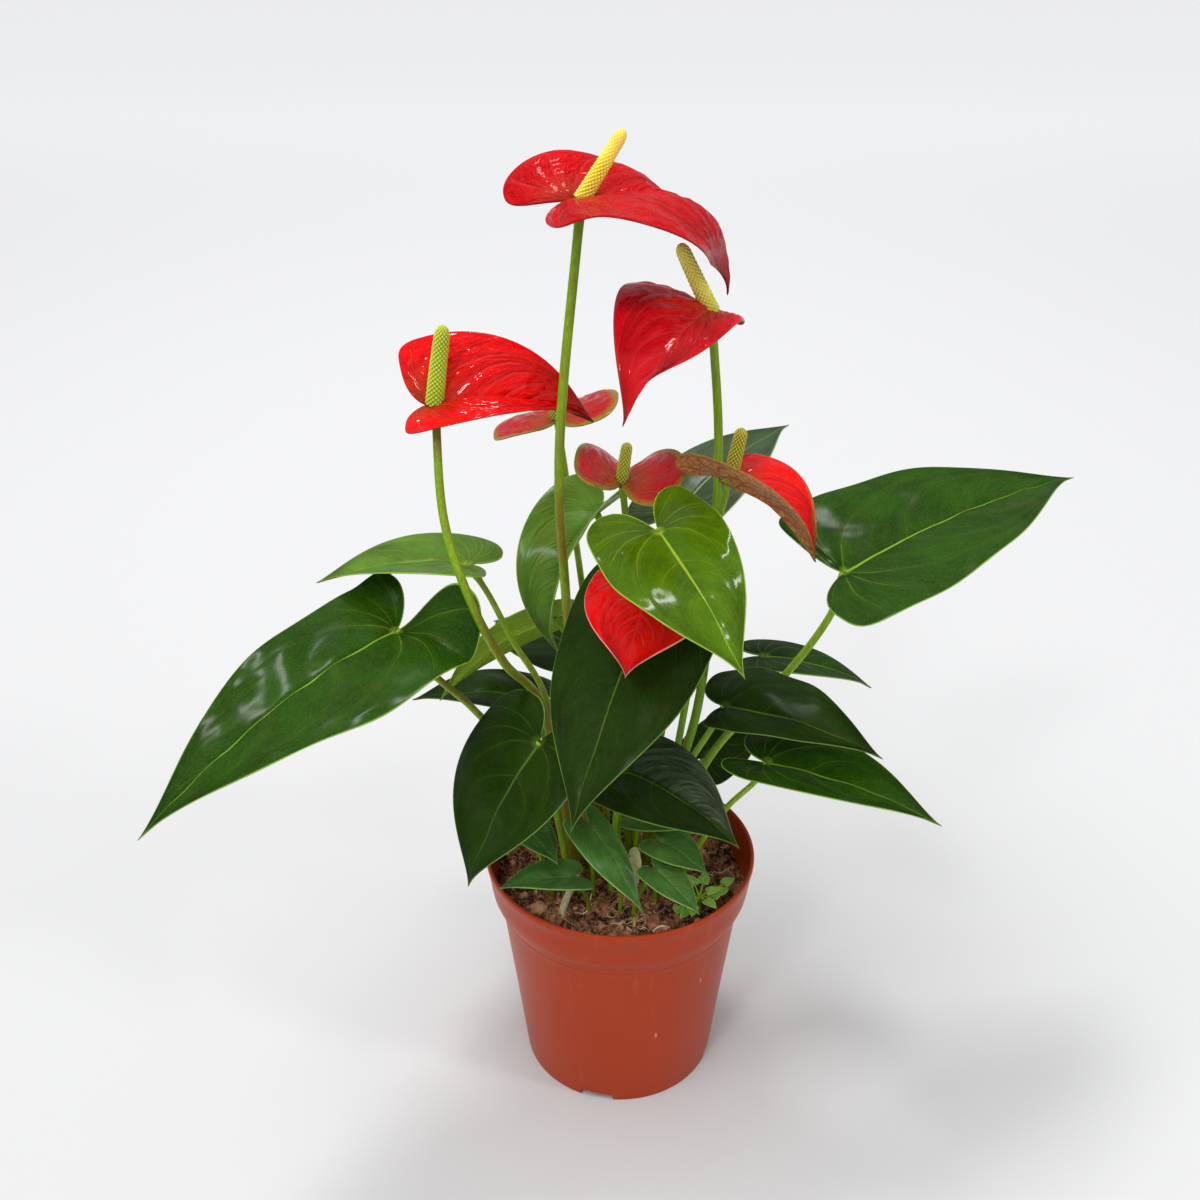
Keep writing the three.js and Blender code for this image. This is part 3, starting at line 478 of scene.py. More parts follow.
def grow_blade(
    name, form, material, veins=4, sweep=(0.2, 0.8), quilt=0.22, puff=0, blister=0.04, rib=0.8,
    detail=1.5, thickness=0.6, seed=0,
):
    """A blade as a closed sheet. Its spokes run from the joint to the edge, and its rings lie at even
    shares of the spokes. The sheet is raised along its own normal by the quilting, which is the
    absolute sine of the vein count, by puffs at even steps along each pillow, and by a fine and a
    broad swell, and is lowered along the midrib. The lower face has the midrib as a rib, and both
    faces meet in a rounded edge."""
    place, half, rear, length = blade_form(**form)
    counts = [max(4, int(round(share * length / detail))) for share in (0.62, 0.3, 0.16)]
    right = heart_edge(half, rear, counts)
    edge = np.concatenate([right[::-1], right[1:] * (1, -1)])
    share = np.concatenate([np.linspace(0, 0.975, int(length / detail)), [0.985, 0.994, 1]])[:, None]
    x, y = share * edge[:, 0], share * edge[:, 1]
    step = 0.4 / length
    normal = np.cross(place(x + step, y) - place(x - step, y), place(x, y - step) - place(x, y + step))
    normal /= np.linalg.norm(normal, axis=-1)[..., None]

    across = np.abs(y) * length
    reach = np.hypot(x, y) * length
    flat = np.stack([x, y], -1) * length
    gap = distance_to_line(flat, edge * length)
    near, far = sweep
    side_x, side_y = right[counts[0]::-1].T
    own = np.linspace(0, 1, 80)
    own_x = near * own + far * own**4
    own_y = own * np.interp(own_x, side_x, side_y)
    own_reach, own_bearing = np.hypot(own_x, own_y), np.arctan2(own_y, own_x)

    def phase(x, y):
        """Where a point lies among the side veins, which are at whole numbers. Ahead of the joint's
        own vein they leave the midrib at even steps, and behind it they fan out from the joint."""
        out = (np.abs(y) / np.interp(x, side_x, side_y).clip(0.001)).clip(0, 1)
        ahead = veins * (x - near * out - far * out**4)
        bearing = np.interp(np.hypot(x, y), own_reach, own_bearing)
        return np.where(ahead > 0, ahead, (bearing - np.arctan2(np.abs(y), x)) / 0.5)

    vein = phase(x, y)
    slope_x = phase(x + step, y) - phase(x - step, y)
    slope_y = phase(x, y + step) - phase(x, y - step)
    slope = np.hypot(slope_x, slope_y)
    spacing = (2 * step * length / slope.clip(1e-4)).clip(0, 20)

    fade = (across / (across + 3)) * (gap / (gap + 3)) * np.minimum(1, reach / 12)
    pillow = np.abs(np.sin(np.pi * vein)) ** 0.8
    groove = np.exp(-((across / 1.3) ** 2)) * (x > 0) * (1 - 0.6 * x.clip(0, 1))
    puffs = np.abs(np.sin(np.pi * (reach / 7 + 0.5 * np.floor(vein)))) * np.abs(np.sin(np.pi * vein))
    relief = quilt * (pillow - 0.5 + puff * puffs) * fade * np.minimum(1, spacing / 6)
    relief += blister * swell(flat, 6, seed) * gap / (gap + 2)
    relief += 0.55 * swell(flat, 24, seed + 1) * gap.clip(0, 4) / 4
    relief -= 0.35 * groove
    middle = place(x, y) + normal * relief[..., None]

    rounding = np.sqrt(1 - ((share - 0.975) / 0.025).clip(0, 1) ** 2) * np.ones_like(x)
    rounding[:, [0, -1]] = 0
    depth = thickness / 2 + rib * groove * (1 - 0.5 * x.clip(0, 1))
    top = middle + normal * (rounding * thickness / 2)[..., None]
    bottom = middle - normal * (rounding * depth)[..., None]
    faces = net(len(share), len(edge))
    points = np.concatenate([top.reshape(-1, 3), bottom.reshape(-1, 3)])
    faces = np.concatenate([faces[:, ::-1], faces + x.size])
    fields = dict(along=x, across=across, left=y < 0, reach=reach, edge=gap, vein=vein, spacing=spacing)
    fields = {label: np.tile(values.reshape(-1), 2) for label, values in fields.items()}
    under = np.repeat([0, 1], x.size)
    return new_mesh(name, points, faces, material, under=under, **fields)


def leaf_skin(
    name, colour, vein_colour, under_colour, gloss, coat=0.3, dapple=0.5, veined=1.0, rust=0.3, bloom=0,
):
    """The skin of a blade: its colour dappled by noise and browned in patches by the rust share, a
    pale midrib and side veins that are brightest at the joint, a fine net and fine pleats between
    them, lightened on their crests as a painted sheen, a pale margin line, and a duller lower face.
    A painted grey sheen, standing in for a reflection, may lie on the left half. The gloss is the
    coat's roughness."""
    skin, shader = finish(name, Coat_Weight=coat, Coat_Roughness=gloss, Specular_IOR_Level=0.04)
    place = place_of(skin)
    colour, vein_colour, under_colour = np.array(colour), np.array(vein_colour), np.array(under_colour)
    cloud = place.noise(45, detail=4, roughness=0.6)
    cell = place.node("ShaderNodeTexVoronoi", {"Vector": place, "Scale": 520}, feature="DISTANCE_TO_EDGE")
    cell = cell.step(0, 0.16)
    pores = place.noise(2600, detail=2)
    along, across, reach = field(skin, "along"), field(skin, "across"), field(skin, "reach")
    vein, spacing, edge = field(skin, "vein"), field(skin, "spacing"), field(skin, "edge")
    from_vein = (0.5 - (vein.maths("FRACT") - 0.5).maths("ABSOLUTE")) * spacing
    side_vein = from_vein.step(0.5, 0.1) * reach.step(1, 4) * spacing.step(1.2, 4) * edge.step(0.5, 6)
    beside_vein = from_vein.step(3.2, 0.2) * spacing.step(2, 6) * edge.step(0.5, 6)
    shown = veined * (1 - 0.88 * reach.step(6, 40))
    midrib = (across + along * 0.4).step(0.7, 0.35) * along.step(-0.02, 0.01)
    midrib = midrib * (1 - 0.5 * along.step(0.2, 0.9))
    margin = edge.step(0.55, 0.2)
    knuckle = reach.step(4, 1)
    bands = {"X": vein * 7, "Y": reach * 0.1, "Z": edge * 0.06}
    pleat_and_sheen = place.node("ShaderNodeCombineXYZ", bands).noise(1, detail=4, roughness=0.6)
    rusty = place.noise(38, detail=5, roughness=0.7).step(0.5, 0.68) * rust
    darker, lighter = colour * (1 - dapple * 0.5), colour * (1 + dapple * 0.6)
    upper = cloud.step(0.3, 0.7).tint(tuple(darker), tuple(lighter))
    # The pleat crests are painted lighter: a painted sheen along the wrinkles.
    upper = (pleat_and_sheen.step(0.48, 0.68) * 0.5).tint(upper, tuple(colour * (1.7, 1.5, 1.5)))
    upper = rusty.tint(upper, tuple(colour * (1.7, 0.75, 0.9) + (0.012, 0.003, 0.0008)))
    # Painted grey sheen: the left half is greyed along the pleats, in place of a reflection.
    if bloom:
        painted_sheen_mask = field(skin, "left") * across.step(0.5, 3) * pleat_and_sheen.step(0.3, 0.75) * bloom
        upper = painted_sheen_mask.tint(upper, (0.15, 0.17, 0.13))
    upper = (beside_vein * 0.12).tint(upper, tuple(colour * 0.55 + vein_colour * 0.3))
    upper = ((1 - cell) * 0.08).tint(upper, tuple(vein_colour * 0.7))
    upper = (side_vein * shown * 0.8).tint(upper, tuple(vein_colour * 0.8))
    upper = midrib.maths("MAXIMUM", knuckle * 0.8).tint(upper, tuple(vein_colour))
    upper = (margin * 0.7).tint(upper, tuple(vein_colour + (0.12, 0.18, 0.04)))
    lower = cloud.tint(tuple(under_colour * 0.85), tuple(under_colour * 1.15))
    lower = side_vein.maths("MAXIMUM", midrib).tint(lower, tuple(under_colour * 1.45))
    under = field(skin, "under").step(0.4, 0.6)
    height = cell * 0.1 + pores * 0.1 + cloud * 0.5 + pleat_and_sheen * 2.2 - side_vein * 0.6
    feed(shader, under.tint(upper, lower), 0.45 + cloud * 0.12 + under * 0.15, height, 0.0007, 0.8)
    return skin


dark_green = ((0.0105, 0.031, 0.001), (0.07, 0.15, 0.014), (0.08, 0.16, 0.03))
skins = dict(
    grown=leaf_skin(
        "leaf_skin_grown", (0.0135, 0.053, 0.0012), (0.2, 0.34, 0.03), (0.13, 0.24, 0.03),
        coat=0.22, gloss=0.24, veined=0.6,
    ),
    deep=leaf_skin("leaf_skin_deep", *dark_green, coat=0.18, gloss=0.28, veined=0.6, rust=0.5),
    fresh=leaf_skin(
        "leaf_skin_fresh", (0.06, 0.135, 0.0008), (0.34, 0.48, 0.03), (0.26, 0.42, 0.04),
        coat=0.4, gloss=0.11, veined=0.6, rust=0,
    ),
    lime=leaf_skin(
        "leaf_skin_lime", (0.2, 0.33, 0.02), (0.4, 0.52, 0.05), (0.3, 0.46, 0.04),
        coat=0.2, gloss=0.3,
    ),
    grass=leaf_skin(
        "leaf_skin_grass", (0.085, 0.18, 0.018), (0.22, 0.38, 0.03), (0.2, 0.36, 0.03),
        gloss=0.22, veined=0.6,
    ),
    # The grey skin's greyish green is partly the leaf's own dark green and partly a painted sheen of
    # reflected sky.
    grey=leaf_skin(
        "leaf_skin_grey", (0.04, 0.075, 0.03), (0.2, 0.3, 0.1), (0.14, 0.22, 0.08),
        coat=0.5, gloss=0.3, dapple=0.4, veined=0.4,
    ),
    # This skin has a painted grey sheen on the left half, in place of a reflection.
    bloomed=leaf_skin(
        "leaf_skin_painted_sheen", *dark_green, coat=0.25, gloss=0.24, veined=0.6, rust=0.5, bloom=0.7,
    ),
    small=leaf_skin(
        "leaf_skin_small", (0.075, 0.2, 0.035), (0.16, 0.3, 0.07), (0.16, 0.32, 0.06),
        gloss=0.25, dapple=0.7, veined=0.25,
    ),
    pale=leaf_skin(
        "leaf_skin_pale", (0.55, 0.62, 0.25), (0.7, 0.72, 0.4), (0.5, 0.6, 0.28),
        coat=0.1, gloss=0.4, veined=0.3,
    ),
)


def flowing(points, steps):
    """A smooth way through points: each stretch is a cubic that leaves and arrives in directions set
    by its neighbours, with chords weighed by the square root of their length."""
    marks = np.array(points, float)
    marks = np.concatenate([[2 * marks[0] - marks[1]], marks, [2 * marks[-1] - marks[-2]]])
    weight = np.linalg.norm(np.diff(marks, axis=0), axis=1)[:, None] ** 0.5
    before, here, after = weight[:-2], weight[1:-1], weight[2:]
    past, start, stop, later = marks[:-3], marks[1:-2], marks[2:-1], marks[3:]
    leave = ((start - past) / before - (stop - past) / (before + here) + (stop - start) / here) * here
    arrive = ((stop - start) / here - (later - start) / (here + after) + (later - stop) / after) * here
    share = np.linspace(0, 1, steps, endpoint=False)[:, None, None]
    square, cube = 3 * (stop - start) - 2 * leave - arrive, 2 * (start - stop) + leave + arrive
    way = start + leave * share + square * share**2 + cube * share**3
    return np.concatenate([way.transpose(1, 0, 2).reshape(-1, 3), marks[-2:-1]])


def grow_tube(name, way, radius, sides, material, **fields):
    """A closed tube along a way. Each ring lies square to the way at its point, and its radius may
    differ for every point of the ring. Both ends are closed by a point on the way."""
    ahead = np.gradient(way, axis=0)
    ahead /= np.linalg.norm(ahead, axis=1)[:, None]
    level = np.cross(up, way[-1] - way[0]) + (0.001, 0, 0)
    across = level - ahead * (ahead @ level)[:, None]
    across /= np.linalg.norm(across, axis=1)[:, None]
    over = np.cross(ahead, across)
    turn = np.arange(sides) * 2 * np.pi / sides
    out = across[:, None] * np.cos(turn)[:, None] + over[:, None] * np.sin(turn)[:, None]
    radius = np.broadcast_to(radius, (len(way), sides))[..., None]
    rings = way[:, None] + out * radius
    ends = np.broadcast_to(way[[0, -1], None], (2, sides, 3))
    points = np.concatenate([ends[:1], rings, ends[1:]])
    closed = {}
    for label, values in fields.items():
        values = np.broadcast_to(values, (len(way), sides))
        closed[label] = np.concatenate([values[:1], values, values[-1:]]).reshape(-1)
    return new_mesh(name, points.reshape(-1, 3), net(len(way) + 2, sides, closed=True), material, **closed)


foot_level, clear_level = soil_top - 14, soil_top + 6


def grow_stalk(name, root, via, seat, radius, material, knuckle=0):
    """A stalk from inside the soil, past the places it bends at, to its seat. It narrows evenly on the
    way up, has a shallow channel on one side, and may swell over its last 12 mm into a knuckle."""
    way = flowing([(*root, foot_level), (*root, clear_level), *via, seat], 14)
    passed = np.concatenate([[0], np.cumsum(np.linalg.norm(np.diff(way, axis=0), axis=1))])
    share, left_over = (passed / passed[-1])[:, None], (passed[-1] - passed)[:, None]
    sides = 18
    turn = np.arange(sides) * 2 * np.pi / sides
    swelling = knuckle * np.exp(-(((left_over - 4) / 4) ** 2))
    channel = -0.06 * np.exp(-((((turn - np.pi / 2) % (2 * np.pi) - np.pi) / 0.5) ** 2))
    girth = radius * (1.15 - 0.25 * share + swelling + channel)
    sunny = np.broadcast_to(0.5 + 0.5 * np.cos(turn - 0.8), (len(way), sides))
    return grow_tube(name, way, girth, sides, material, along=share, end=left_over, sunny=sunny)


def stalk_skin(name, colour, blush):
    """The skin of a stalk: fine lengthwise streaks, and a brown-red blush on its sunny side that
    breaks up in specks and is deepest towards the foot."""
    skin, shader = finish(name, Coat_Weight=0.1, Coat_Roughness=0.2, Specular_IOR_Level=0.25)
    place = place_of(skin)
    colour = np.array(colour)
    fibre = place.node("ShaderNodeMapping", {"Vector": place, "Scale": (1, 1, 0.05)}).noise(1500)
    speck = place.node("ShaderNodeMapping", {"Vector": place, "Scale": (1, 1, 0.4)}).noise(900, detail=3)
    cloud = place.noise(35)
    reddened = field(skin, "sunny") * 0.7 + cloud - field(skin, "along") * 0.35 + speck * 0.4
    tinted = fibre.step(0.3, 0.7).tint(tuple(colour * 0.8), tuple(colour * 1.15))
    tinted = (reddened.step(0.88, 1.3) * 0.75).tint(tinted, blush)
    tinted = (speck.step(0.66, 0.72) * 0.4).tint(tinted, (0.2, 0.13, 0.06))
    feed(shader, tinted, 0.38 + speck * 0.15, fibre + speck * 0.4, 0.0002)
    return skin


leaf_stalk_skin = stalk_skin("leaf_stalk_skin", (0.24, 0.42, 0.01), (0.2, 0.1, 0.015))
leaves = [
    dict(
        joint=(-90, -15, 228), tip=(-168, -110, 197), width=72, back=22, roll=-6, left=14, right=18,
        curl=-18, droop=30, lobes=(0.6, 0.6), shares=(1.1, 0.8), lifts=(62, 26), root=(-28, -4),
        via=[(-38, -6, 150), (-62, -6, 186), (-78, -10, 206)], radius=1.6, frill=1.6, waves=2.2,
        tone="grown",
    ),
    dict(
        joint=(90, 5, 244), tip=(202, 70, 260), width=84, back=20, roll=10, curl=-15, droop=20, right=18,
        left=12, root=(24, 5), via=[(37, 8, 148), (56, 11, 175), (73, 8, 199), (87, 5, 227)], radius=1.7,
        shares=(1, 0.94), frill=1.2, lobes=(0.25, 1), tone="grown",
    ),
    dict(
        joint=(12, -45, 284), tip=(39, -100, 255), width=52, back=18, roll=12, curl=-15, droop=35,
        lifts=(3, 3), right=4, left=16, root=(12, 17), via=[(25, 12, 235), (20, -10, 272)], radius=1.4,
        shares=(0.82, 1), frill=1.5, waves=1.8, tone="fresh",
    ),
    dict(
        joint=(11, -14, 241), tip=(-20, -81, 178), width=66, back=20, roll=4, fold=6, curl=-20, droop=20,
        root=(-2, -2), via=[(4, 2, 200), (8, -4, 230)], radius=1.5, frill=1.2, waves=1.6, tone="deep",
    ),
    dict(
        joint=(-33, -36, 189), tip=(-61, -66, 141), width=54, back=17, roll=0, fold=10, curl=-20, droop=30,
        root=(-22, -18), via=[(-28, -24, 150), (-32, -32, 176)], radius=1.4, shares=(1, 1.25), tone="deep",
    ),
    dict(
        joint=(-63, 11, 245), tip=(-124, 2, 241), width=50, back=15, roll=4, fold=14, curl=-10, droop=30,
        root=(-18, 5), via=[(-33, 2, 190), (-45, 6, 211), (-55, 9, 232)], radius=1.4, lobes=(0.4, 1),
        tone="grass",
    ),
    dict(
        joint=(-10, 42, 254), tip=(-27, 20, 198), width=46, back=12, roll=5, left=50, right=36, curl=-10,
        droop=100, root=(-6, 8), via=[(-6, 28, 180), (-4, 44, 232)], radius=1.4, tone="grass",
    ),
    dict(
        joint=(-29, 33, 209), tip=(-80, 22, 173), width=34, back=14, roll=55, fold=10, droop=40,
        root=(-16, 15), via=[(-13, 26, 170), (-23, 31, 200)], radius=1.3, tone="lime",
    ),
    dict(
        joint=(-22, 60, 180), tip=(-62, 100, 172), width=56, back=16, roll=0, fold=12, droop=25,
        root=(-10, 28), via=[(-16, 46, 160)], radius=1.3, tone="deep",
    ),
    dict(
        joint=(-39, 47, 160), tip=(-94, 33, 167), width=46, back=16, roll=4, fold=12, droop=25,
        root=(-24, 16), via=[(-34, 30, 145)], radius=1.3, tone="deep",
    ),
    dict(
        joint=(42, -14, 192), tip=(102, -45, 187), width=50, back=14, roll=12, fold=10, curl=-15, droop=35,
        root=(15, -9), via=[(24, -10, 150), (38, -14, 183)], radius=1.4, lobes=(1, 0.25), shares=(1, 0.62),
        frill=1, tone="deep",
    ),
    dict(
        joint=(66, 48, 181), tip=(115, 40, 169), width=34, back=12, roll=-4, fold=10, droop=30,
        root=(28, 26), via=[(46, 42, 150), (58, 48, 174)], radius=1.3, tone="grown",
    ),
    dict(
        joint=(59, -25, 172), tip=(124, -60, 166), width=46, back=14, roll=8, droop=25, right=8, left=14,
        root=(26, -12), via=[(44, -20, 145), (56, -24, 163)], radius=1.3, shares=(1, 0.6), lobes=(1, 1.1),
        lifts=(0, 3), tone="grown",
    ),
    dict(
        joint=(40, 22, 144), tip=(68, 38, 163), width=28, back=8, roll=50, fold=8, droop=25, root=(14, 24),
        via=[(26, 24, 120)], radius=1.2, tone="deep",
    ),
    dict(
        joint=(1, -25, 168), tip=(46, -60, 155), width=54, back=14, roll=6, left=24, right=6, droop=35,
        root=(-4, -14), via=[(-2, -20, 145)], radius=1.3, shares=(0.8, 0.85), lobes=(1, 1.6),
        # A painted grey sheen lies on this leaf's left half, in place of a reflection.
        tone="bloomed",
    ),
    dict(
        joint=(26, 46, 256), tip=(77, 92, 277), width=48, back=18, roll=0, fold=12, droop=25, root=(6, 25),
        via=[(16, 36, 180), (24, 42, 246)], radius=1.3, tone="grey",
    ),
]
stalk_keys = ("root", "via", "radius")
for number, leaf in enumerate(leaves):
    name = f"leaf_{number + 1}"
    stalk = {key: leaf[key] for key in stalk_keys}
    form = {key: leaf[key] for key in leaf if key not in (*stalk_keys, "tone")}
    blade = grow_blade(f"{name}_blade", form, skins[leaf["tone"]], seed=100 + 2 * number)
    stem = grow_stalk(f"{name}_stalk", seat=leaf["joint"], knuckle=0.35, material=leaf_stalk_skin, **stalk)
    for made in (blade, stem):
        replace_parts(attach(made, "root"), name)


# Young leaves: small blades low among the stalks, thinner and lighter in colour than grown ones, each
# on a thread of a stalk. The smallest has only just opened and is still cream green.
young_leaves = [
    dict(
        joint=(-20, -38, 124), tip=(-51, -50, 127), width=22, back=6, root=(-14, -26), tone="small",
    ),
    dict(
        joint=(-40, -28, 142), tip=(-26, -46, 136), width=18, back=5, root=(-30, -16), tone="small",
    ),
    dict(
        joint=(-13, -32, 146), tip=(8.5, -56, 119), width=20, back=7, root=(-12, -17), shares=(0.75, 1.25),
        tone="small",
    ),
    dict(
        joint=(8, -14, 138), tip=(28, -29, 140), width=21, back=6, root=(5, -9), roll=12, tone="small",
    ),
    dict(
        joint=(16, -27, 134), tip=(36, -40, 126), width=24, back=5, root=(15, -20), tone="small",
    ),
    dict(
        joint=(14, -40, 129), tip=(32, -53, 116), width=20, back=5, root=(6, -28), tone="small",
    ),
    dict(
        joint=(3, -32, 130), tip=(5, -41, 116), width=10, back=3, root=(0, -25), tone="pale",
    ),
]
for number, leaf in enumerate(young_leaves):
    name = f"young_leaf_{number + 1}"
    form = {key: leaf[key] for key in leaf if key not in ("root", "tone")}
    blade = grow_blade(
        f"{name}_blade", form, skins[leaf["tone"]], veins=5, quilt=0.1, blister=0.03, rib=0.4, detail=0.8,
        seed=200 + number,
    )
    stem = grow_stalk(f"{name}_stalk", leaf["root"], [], leaf["joint"], 0.9, leaf_stalk_skin, knuckle=0.2)
    for made in (blade, stem):
        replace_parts(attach(made, "root"), name)


# Flowers: a waxy red spathe, quilted between its sunken veins and glossy as lacquer, on a long bare
# stalk, and a spadix of tightly packed florets that stands where the spathe joins the stalk.
def spathe_skin(name, red, flush, margin_colour, under_colour, green_edge=0, coat=0.34):
    """The skin of a spathe: lacquer red with paler veins, flushed towards the joint, with fine
    crinkles that run along the veins, a thin margin line, an edge that may still be green, and a
    netted, duller back. The green edge is a share of about 8 mm, and the coat is the face's."""
    skin, shader = finish(
        name, Coat_Weight=coat, Coat_Roughness=0.05, Coat_IOR=1.65, Specular_IOR_Level=0.03,
    )
    place = place_of(skin)
    red, flush, under_colour = np.array(red), np.array(flush), np.array(under_colour)
    cloud = place.noise(60, detail=4)
    along, reach, edge = field(skin, "along"), field(skin, "reach"), field(skin, "edge")
    vein, spacing = field(skin, "vein"), field(skin, "spacing")
    bands = {"X": vein * 3.4, "Y": reach * 0.16, "Z": edge * 0.08}
    crinkle = place.node("ShaderNodeCombineXYZ", bands).noise(1, detail=3, roughness=0.55)
    cell = place.node("ShaderNodeTexVoronoi", {"Vector": place, "Scale": 330}, feature="DISTANCE_TO_EDGE")
    cell = cell.step(0, 0.2)
    blister = place.node("ShaderNodeTexVoronoi", {"Vector": place, "Scale": 230}, feature="SMOOTH_F1")
    from_vein = (0.5 - (vein.maths("FRACT") - 0.5).maths("ABSOLUTE")) * spacing
    side_vein = from_vein.step(0.9, 0.15) * reach.step(1, 5) * spacing.step(1.5, 4) * edge.step(0.5, 5)
    midrib = (field(skin, "across") + along * 0.9).step(1.4, 0.5) * along.step(-0.02, 0.01)
    sunk = side_vein.maths("MAXIMUM", midrib)
    beside = from_vein.step(4.5, 0.3) * edge.step(0.5, 5)
    upper = cloud.step(0.3, 0.7).tint(tuple(red * 0.85), tuple(red * 1.1))
    upper = (beside * 0.12 + (1 - cell) * 0.06).tint(upper, tuple(red * 0.9 + (0.03, 0.015, 0.015)))
    upper = (sunk * 0.24).tint(upper, tuple(red * 0.95 + (0.08, 0.06, 0.06)))
    upper = (reach.step(20, 2) * (0.5 + cloud * 0.5)).tint(upper, tuple(flush))
    if green_edge:
        green = (edge + cloud * 8).step(green_edge * 8 + 4, 4)
        upper = (green * 0.85).tint(upper, margin_colour)
    upper = edge.step(0.65, 0.25).tint(upper, margin_colour)
    lower = cloud.tint(tuple(under_colour * 0.8), tuple(under_colour * 1.2))
    lower = sunk.maths("MAXIMUM", (1 - cell) * 0.75).tint(lower, tuple(under_colour * (0.6, 0.35, 0.4)))
    under = field(skin, "under").step(0.4, 0.6)
    height = crinkle * 4.5 - blister * 1.1 + cell * 0.1 - side_vein * 0.6 + place.noise(140, detail=3) * 0.5
    feed(shader, under.tint(upper, lower), 0.14 + cloud * 0.08 + under * 0.25, height, 0.0008, 0.8)
    back_coat = 0.15
    skin.node_tree.links.new((coat - under * (coat - back_coat)).socket, shader.inputs["Coat Weight"])
    return skin


lacquer = (0.8, 0.0015, 0.0015)
spathe_skins = dict(
    red=spathe_skin("spathe_red", lacquer, (0.5, 0.05, 0.01), (0.4, 0.02, 0.012), (0.42, 0.05, 0.03)),
    crimson=spathe_skin(
        "spathe_crimson", (0.54, 0.002, 0.005), (0.45, 0.04, 0.02), (0.3, 0.01, 0.01), (0.3, 0.006, 0.008),
        coat=0.08,
    ),
    ruby=spathe_skin(
        "spathe_ruby", (0.8, 0.005, 0.012), (0.45, 0.05, 0.02), (0.4, 0.05, 0.03), (0.4, 0.03, 0.02),
        coat=0.3,
    ),
    turning=spathe_skin(
        "spathe_turning", (0.48, 0.012, 0.014), (0.36, 0.08, 0.02), (0.24, 0.24, 0.02), (0.42, 0.14, 0.03),
        green_edge=0.5, coat=0.25,
    ),
    bright=spathe_skin(
        "spathe_bright", (0.8, 0.003, 0.002), (0.55, 0.08, 0.02), (0.3, 0.14, 0.02), (0.56, 0.26, 0.08),
        green_edge=0.1,
    ),
    pink_edged=spathe_skin(
        "spathe_pink_edged", lacquer, (0.45, 0.03, 0.01), (0.8, 0.3, 0.24), (0.4, 0.1, 0.04),
    ),
)


def spadix_skin(name, base, body, tip, pit_and_shade):
    """The skin of a spadix: three colours from base to tip, darker in the pits between the florets,
    partly their own colour and partly painted shade, with a paler dot at the middle of each floret,
    the pale stigma with a painted highlight."""
    skin, shader = finish(
        name, Roughness=0.5, Subsurface_Weight=0.15, Subsurface_Radius=(0.002, 0.0015, 0.0005),
        Subsurface_Scale=1,
    )
    along, floret = field(skin, "along"), field(skin, "floret")
    colour = along.step(0.02, 0.35).tint(base, body)
    colour = along.step(0.6, 0.95).tint(colour, tip)
    # Darker pits between the florets: partly their own colour, partly painted shade in the hollows.
    colour = (floret.step(0.62, 0.2) * 0.9).tint(colour, pit_and_shade)
    # Paler dot at each floret's top: the pale stigma, with a painted highlight.
    colour = (floret.step(0.86, 0.97) * 0.6).tint(colour, tuple(0.45 + 0.55 * np.array(body)))
    feed(shader, colour, None, place_of(skin).noise(3000, detail=2), 0.0002)
    return skin


spadix_skins = dict(
    ripe=spadix_skin(
        "spadix_ripe", (0.86, 0.88, 0.1), (1.0, 0.86, 0.05), (1.0, 0.66, 0.004), (0.8, 0.64, 0.02),
    ),
    pale=spadix_skin(
        "spadix_pale", (0.86, 0.86, 0.1), (1.0, 0.95, 0.18), (1.0, 0.93, 0.22), (0.8, 0.72, 0.06),
    ),
    lime=spadix_skin(
        "spadix_lime", (0.46, 0.64, 0.008), (0.56, 0.7, 0.015), (0.64, 0.68, 0.03), (0.22, 0.3, 0.004),
    ),
    olive=spadix_skin(
        "spadix_olive", (0.34, 0.42, 0.01), (0.45, 0.48, 0.012), (0.5, 0.45, 0.015), (0.14, 0.16, 0.005),
    ),
)


def grow_spadix(name, seat, reach, girth, material, florets=11, pitch=1.8, bead=0.8, worn=0):
    """A spadix: a slightly bowed, tapered finger with a round end. Florets are rhombs between two
    sets of spirals, and each is a low dome, the product of two parabolas. Worn ones fade out towards
    the tip."""
    reach = np.array(reach, float)
    length = np.linalg.norm(reach)
    bow = np.cross(reach, up)
    bow *= length * 0.03 / np.linalg.norm(bow)
    steps, sides = int(length / 0.18), 140
    share = 1 - (1 - np.linspace(0, 1, steps)) ** 1.15
    way = seat + reach * share[:, None] + bow * (2 * share * (1 - share))[:, None]
    share = share[:, None]
    turn = np.arange(sides) * 2 * np.pi / sides
    first = florets * turn / (2 * np.pi) + share * length / pitch
    second = florets * turn / (2 * np.pi) - share * length / pitch
    dome = (1 - (2 * (first % 1) - 1) ** 2) * (1 - (2 * (second % 1) - 1) ** 2)
    rounding = np.sqrt((1 - ((share - 0.86) / 0.14).clip(0, 1) ** 2).clip(0.002, 1))
    body = girth * (1.04 - 0.22 * share) * rounding
    faded = worn * ((share - 0.45) / 0.3).clip(0, 1)
    relief = bead * (dome**0.6 - 0.7) * rounding * (1 - faded)
    floret = dome**0.6 + (1 - dome**0.6) * faded * 0.8
    return grow_tube(name, way, body + relief, sides, material, along=share, floret=floret)


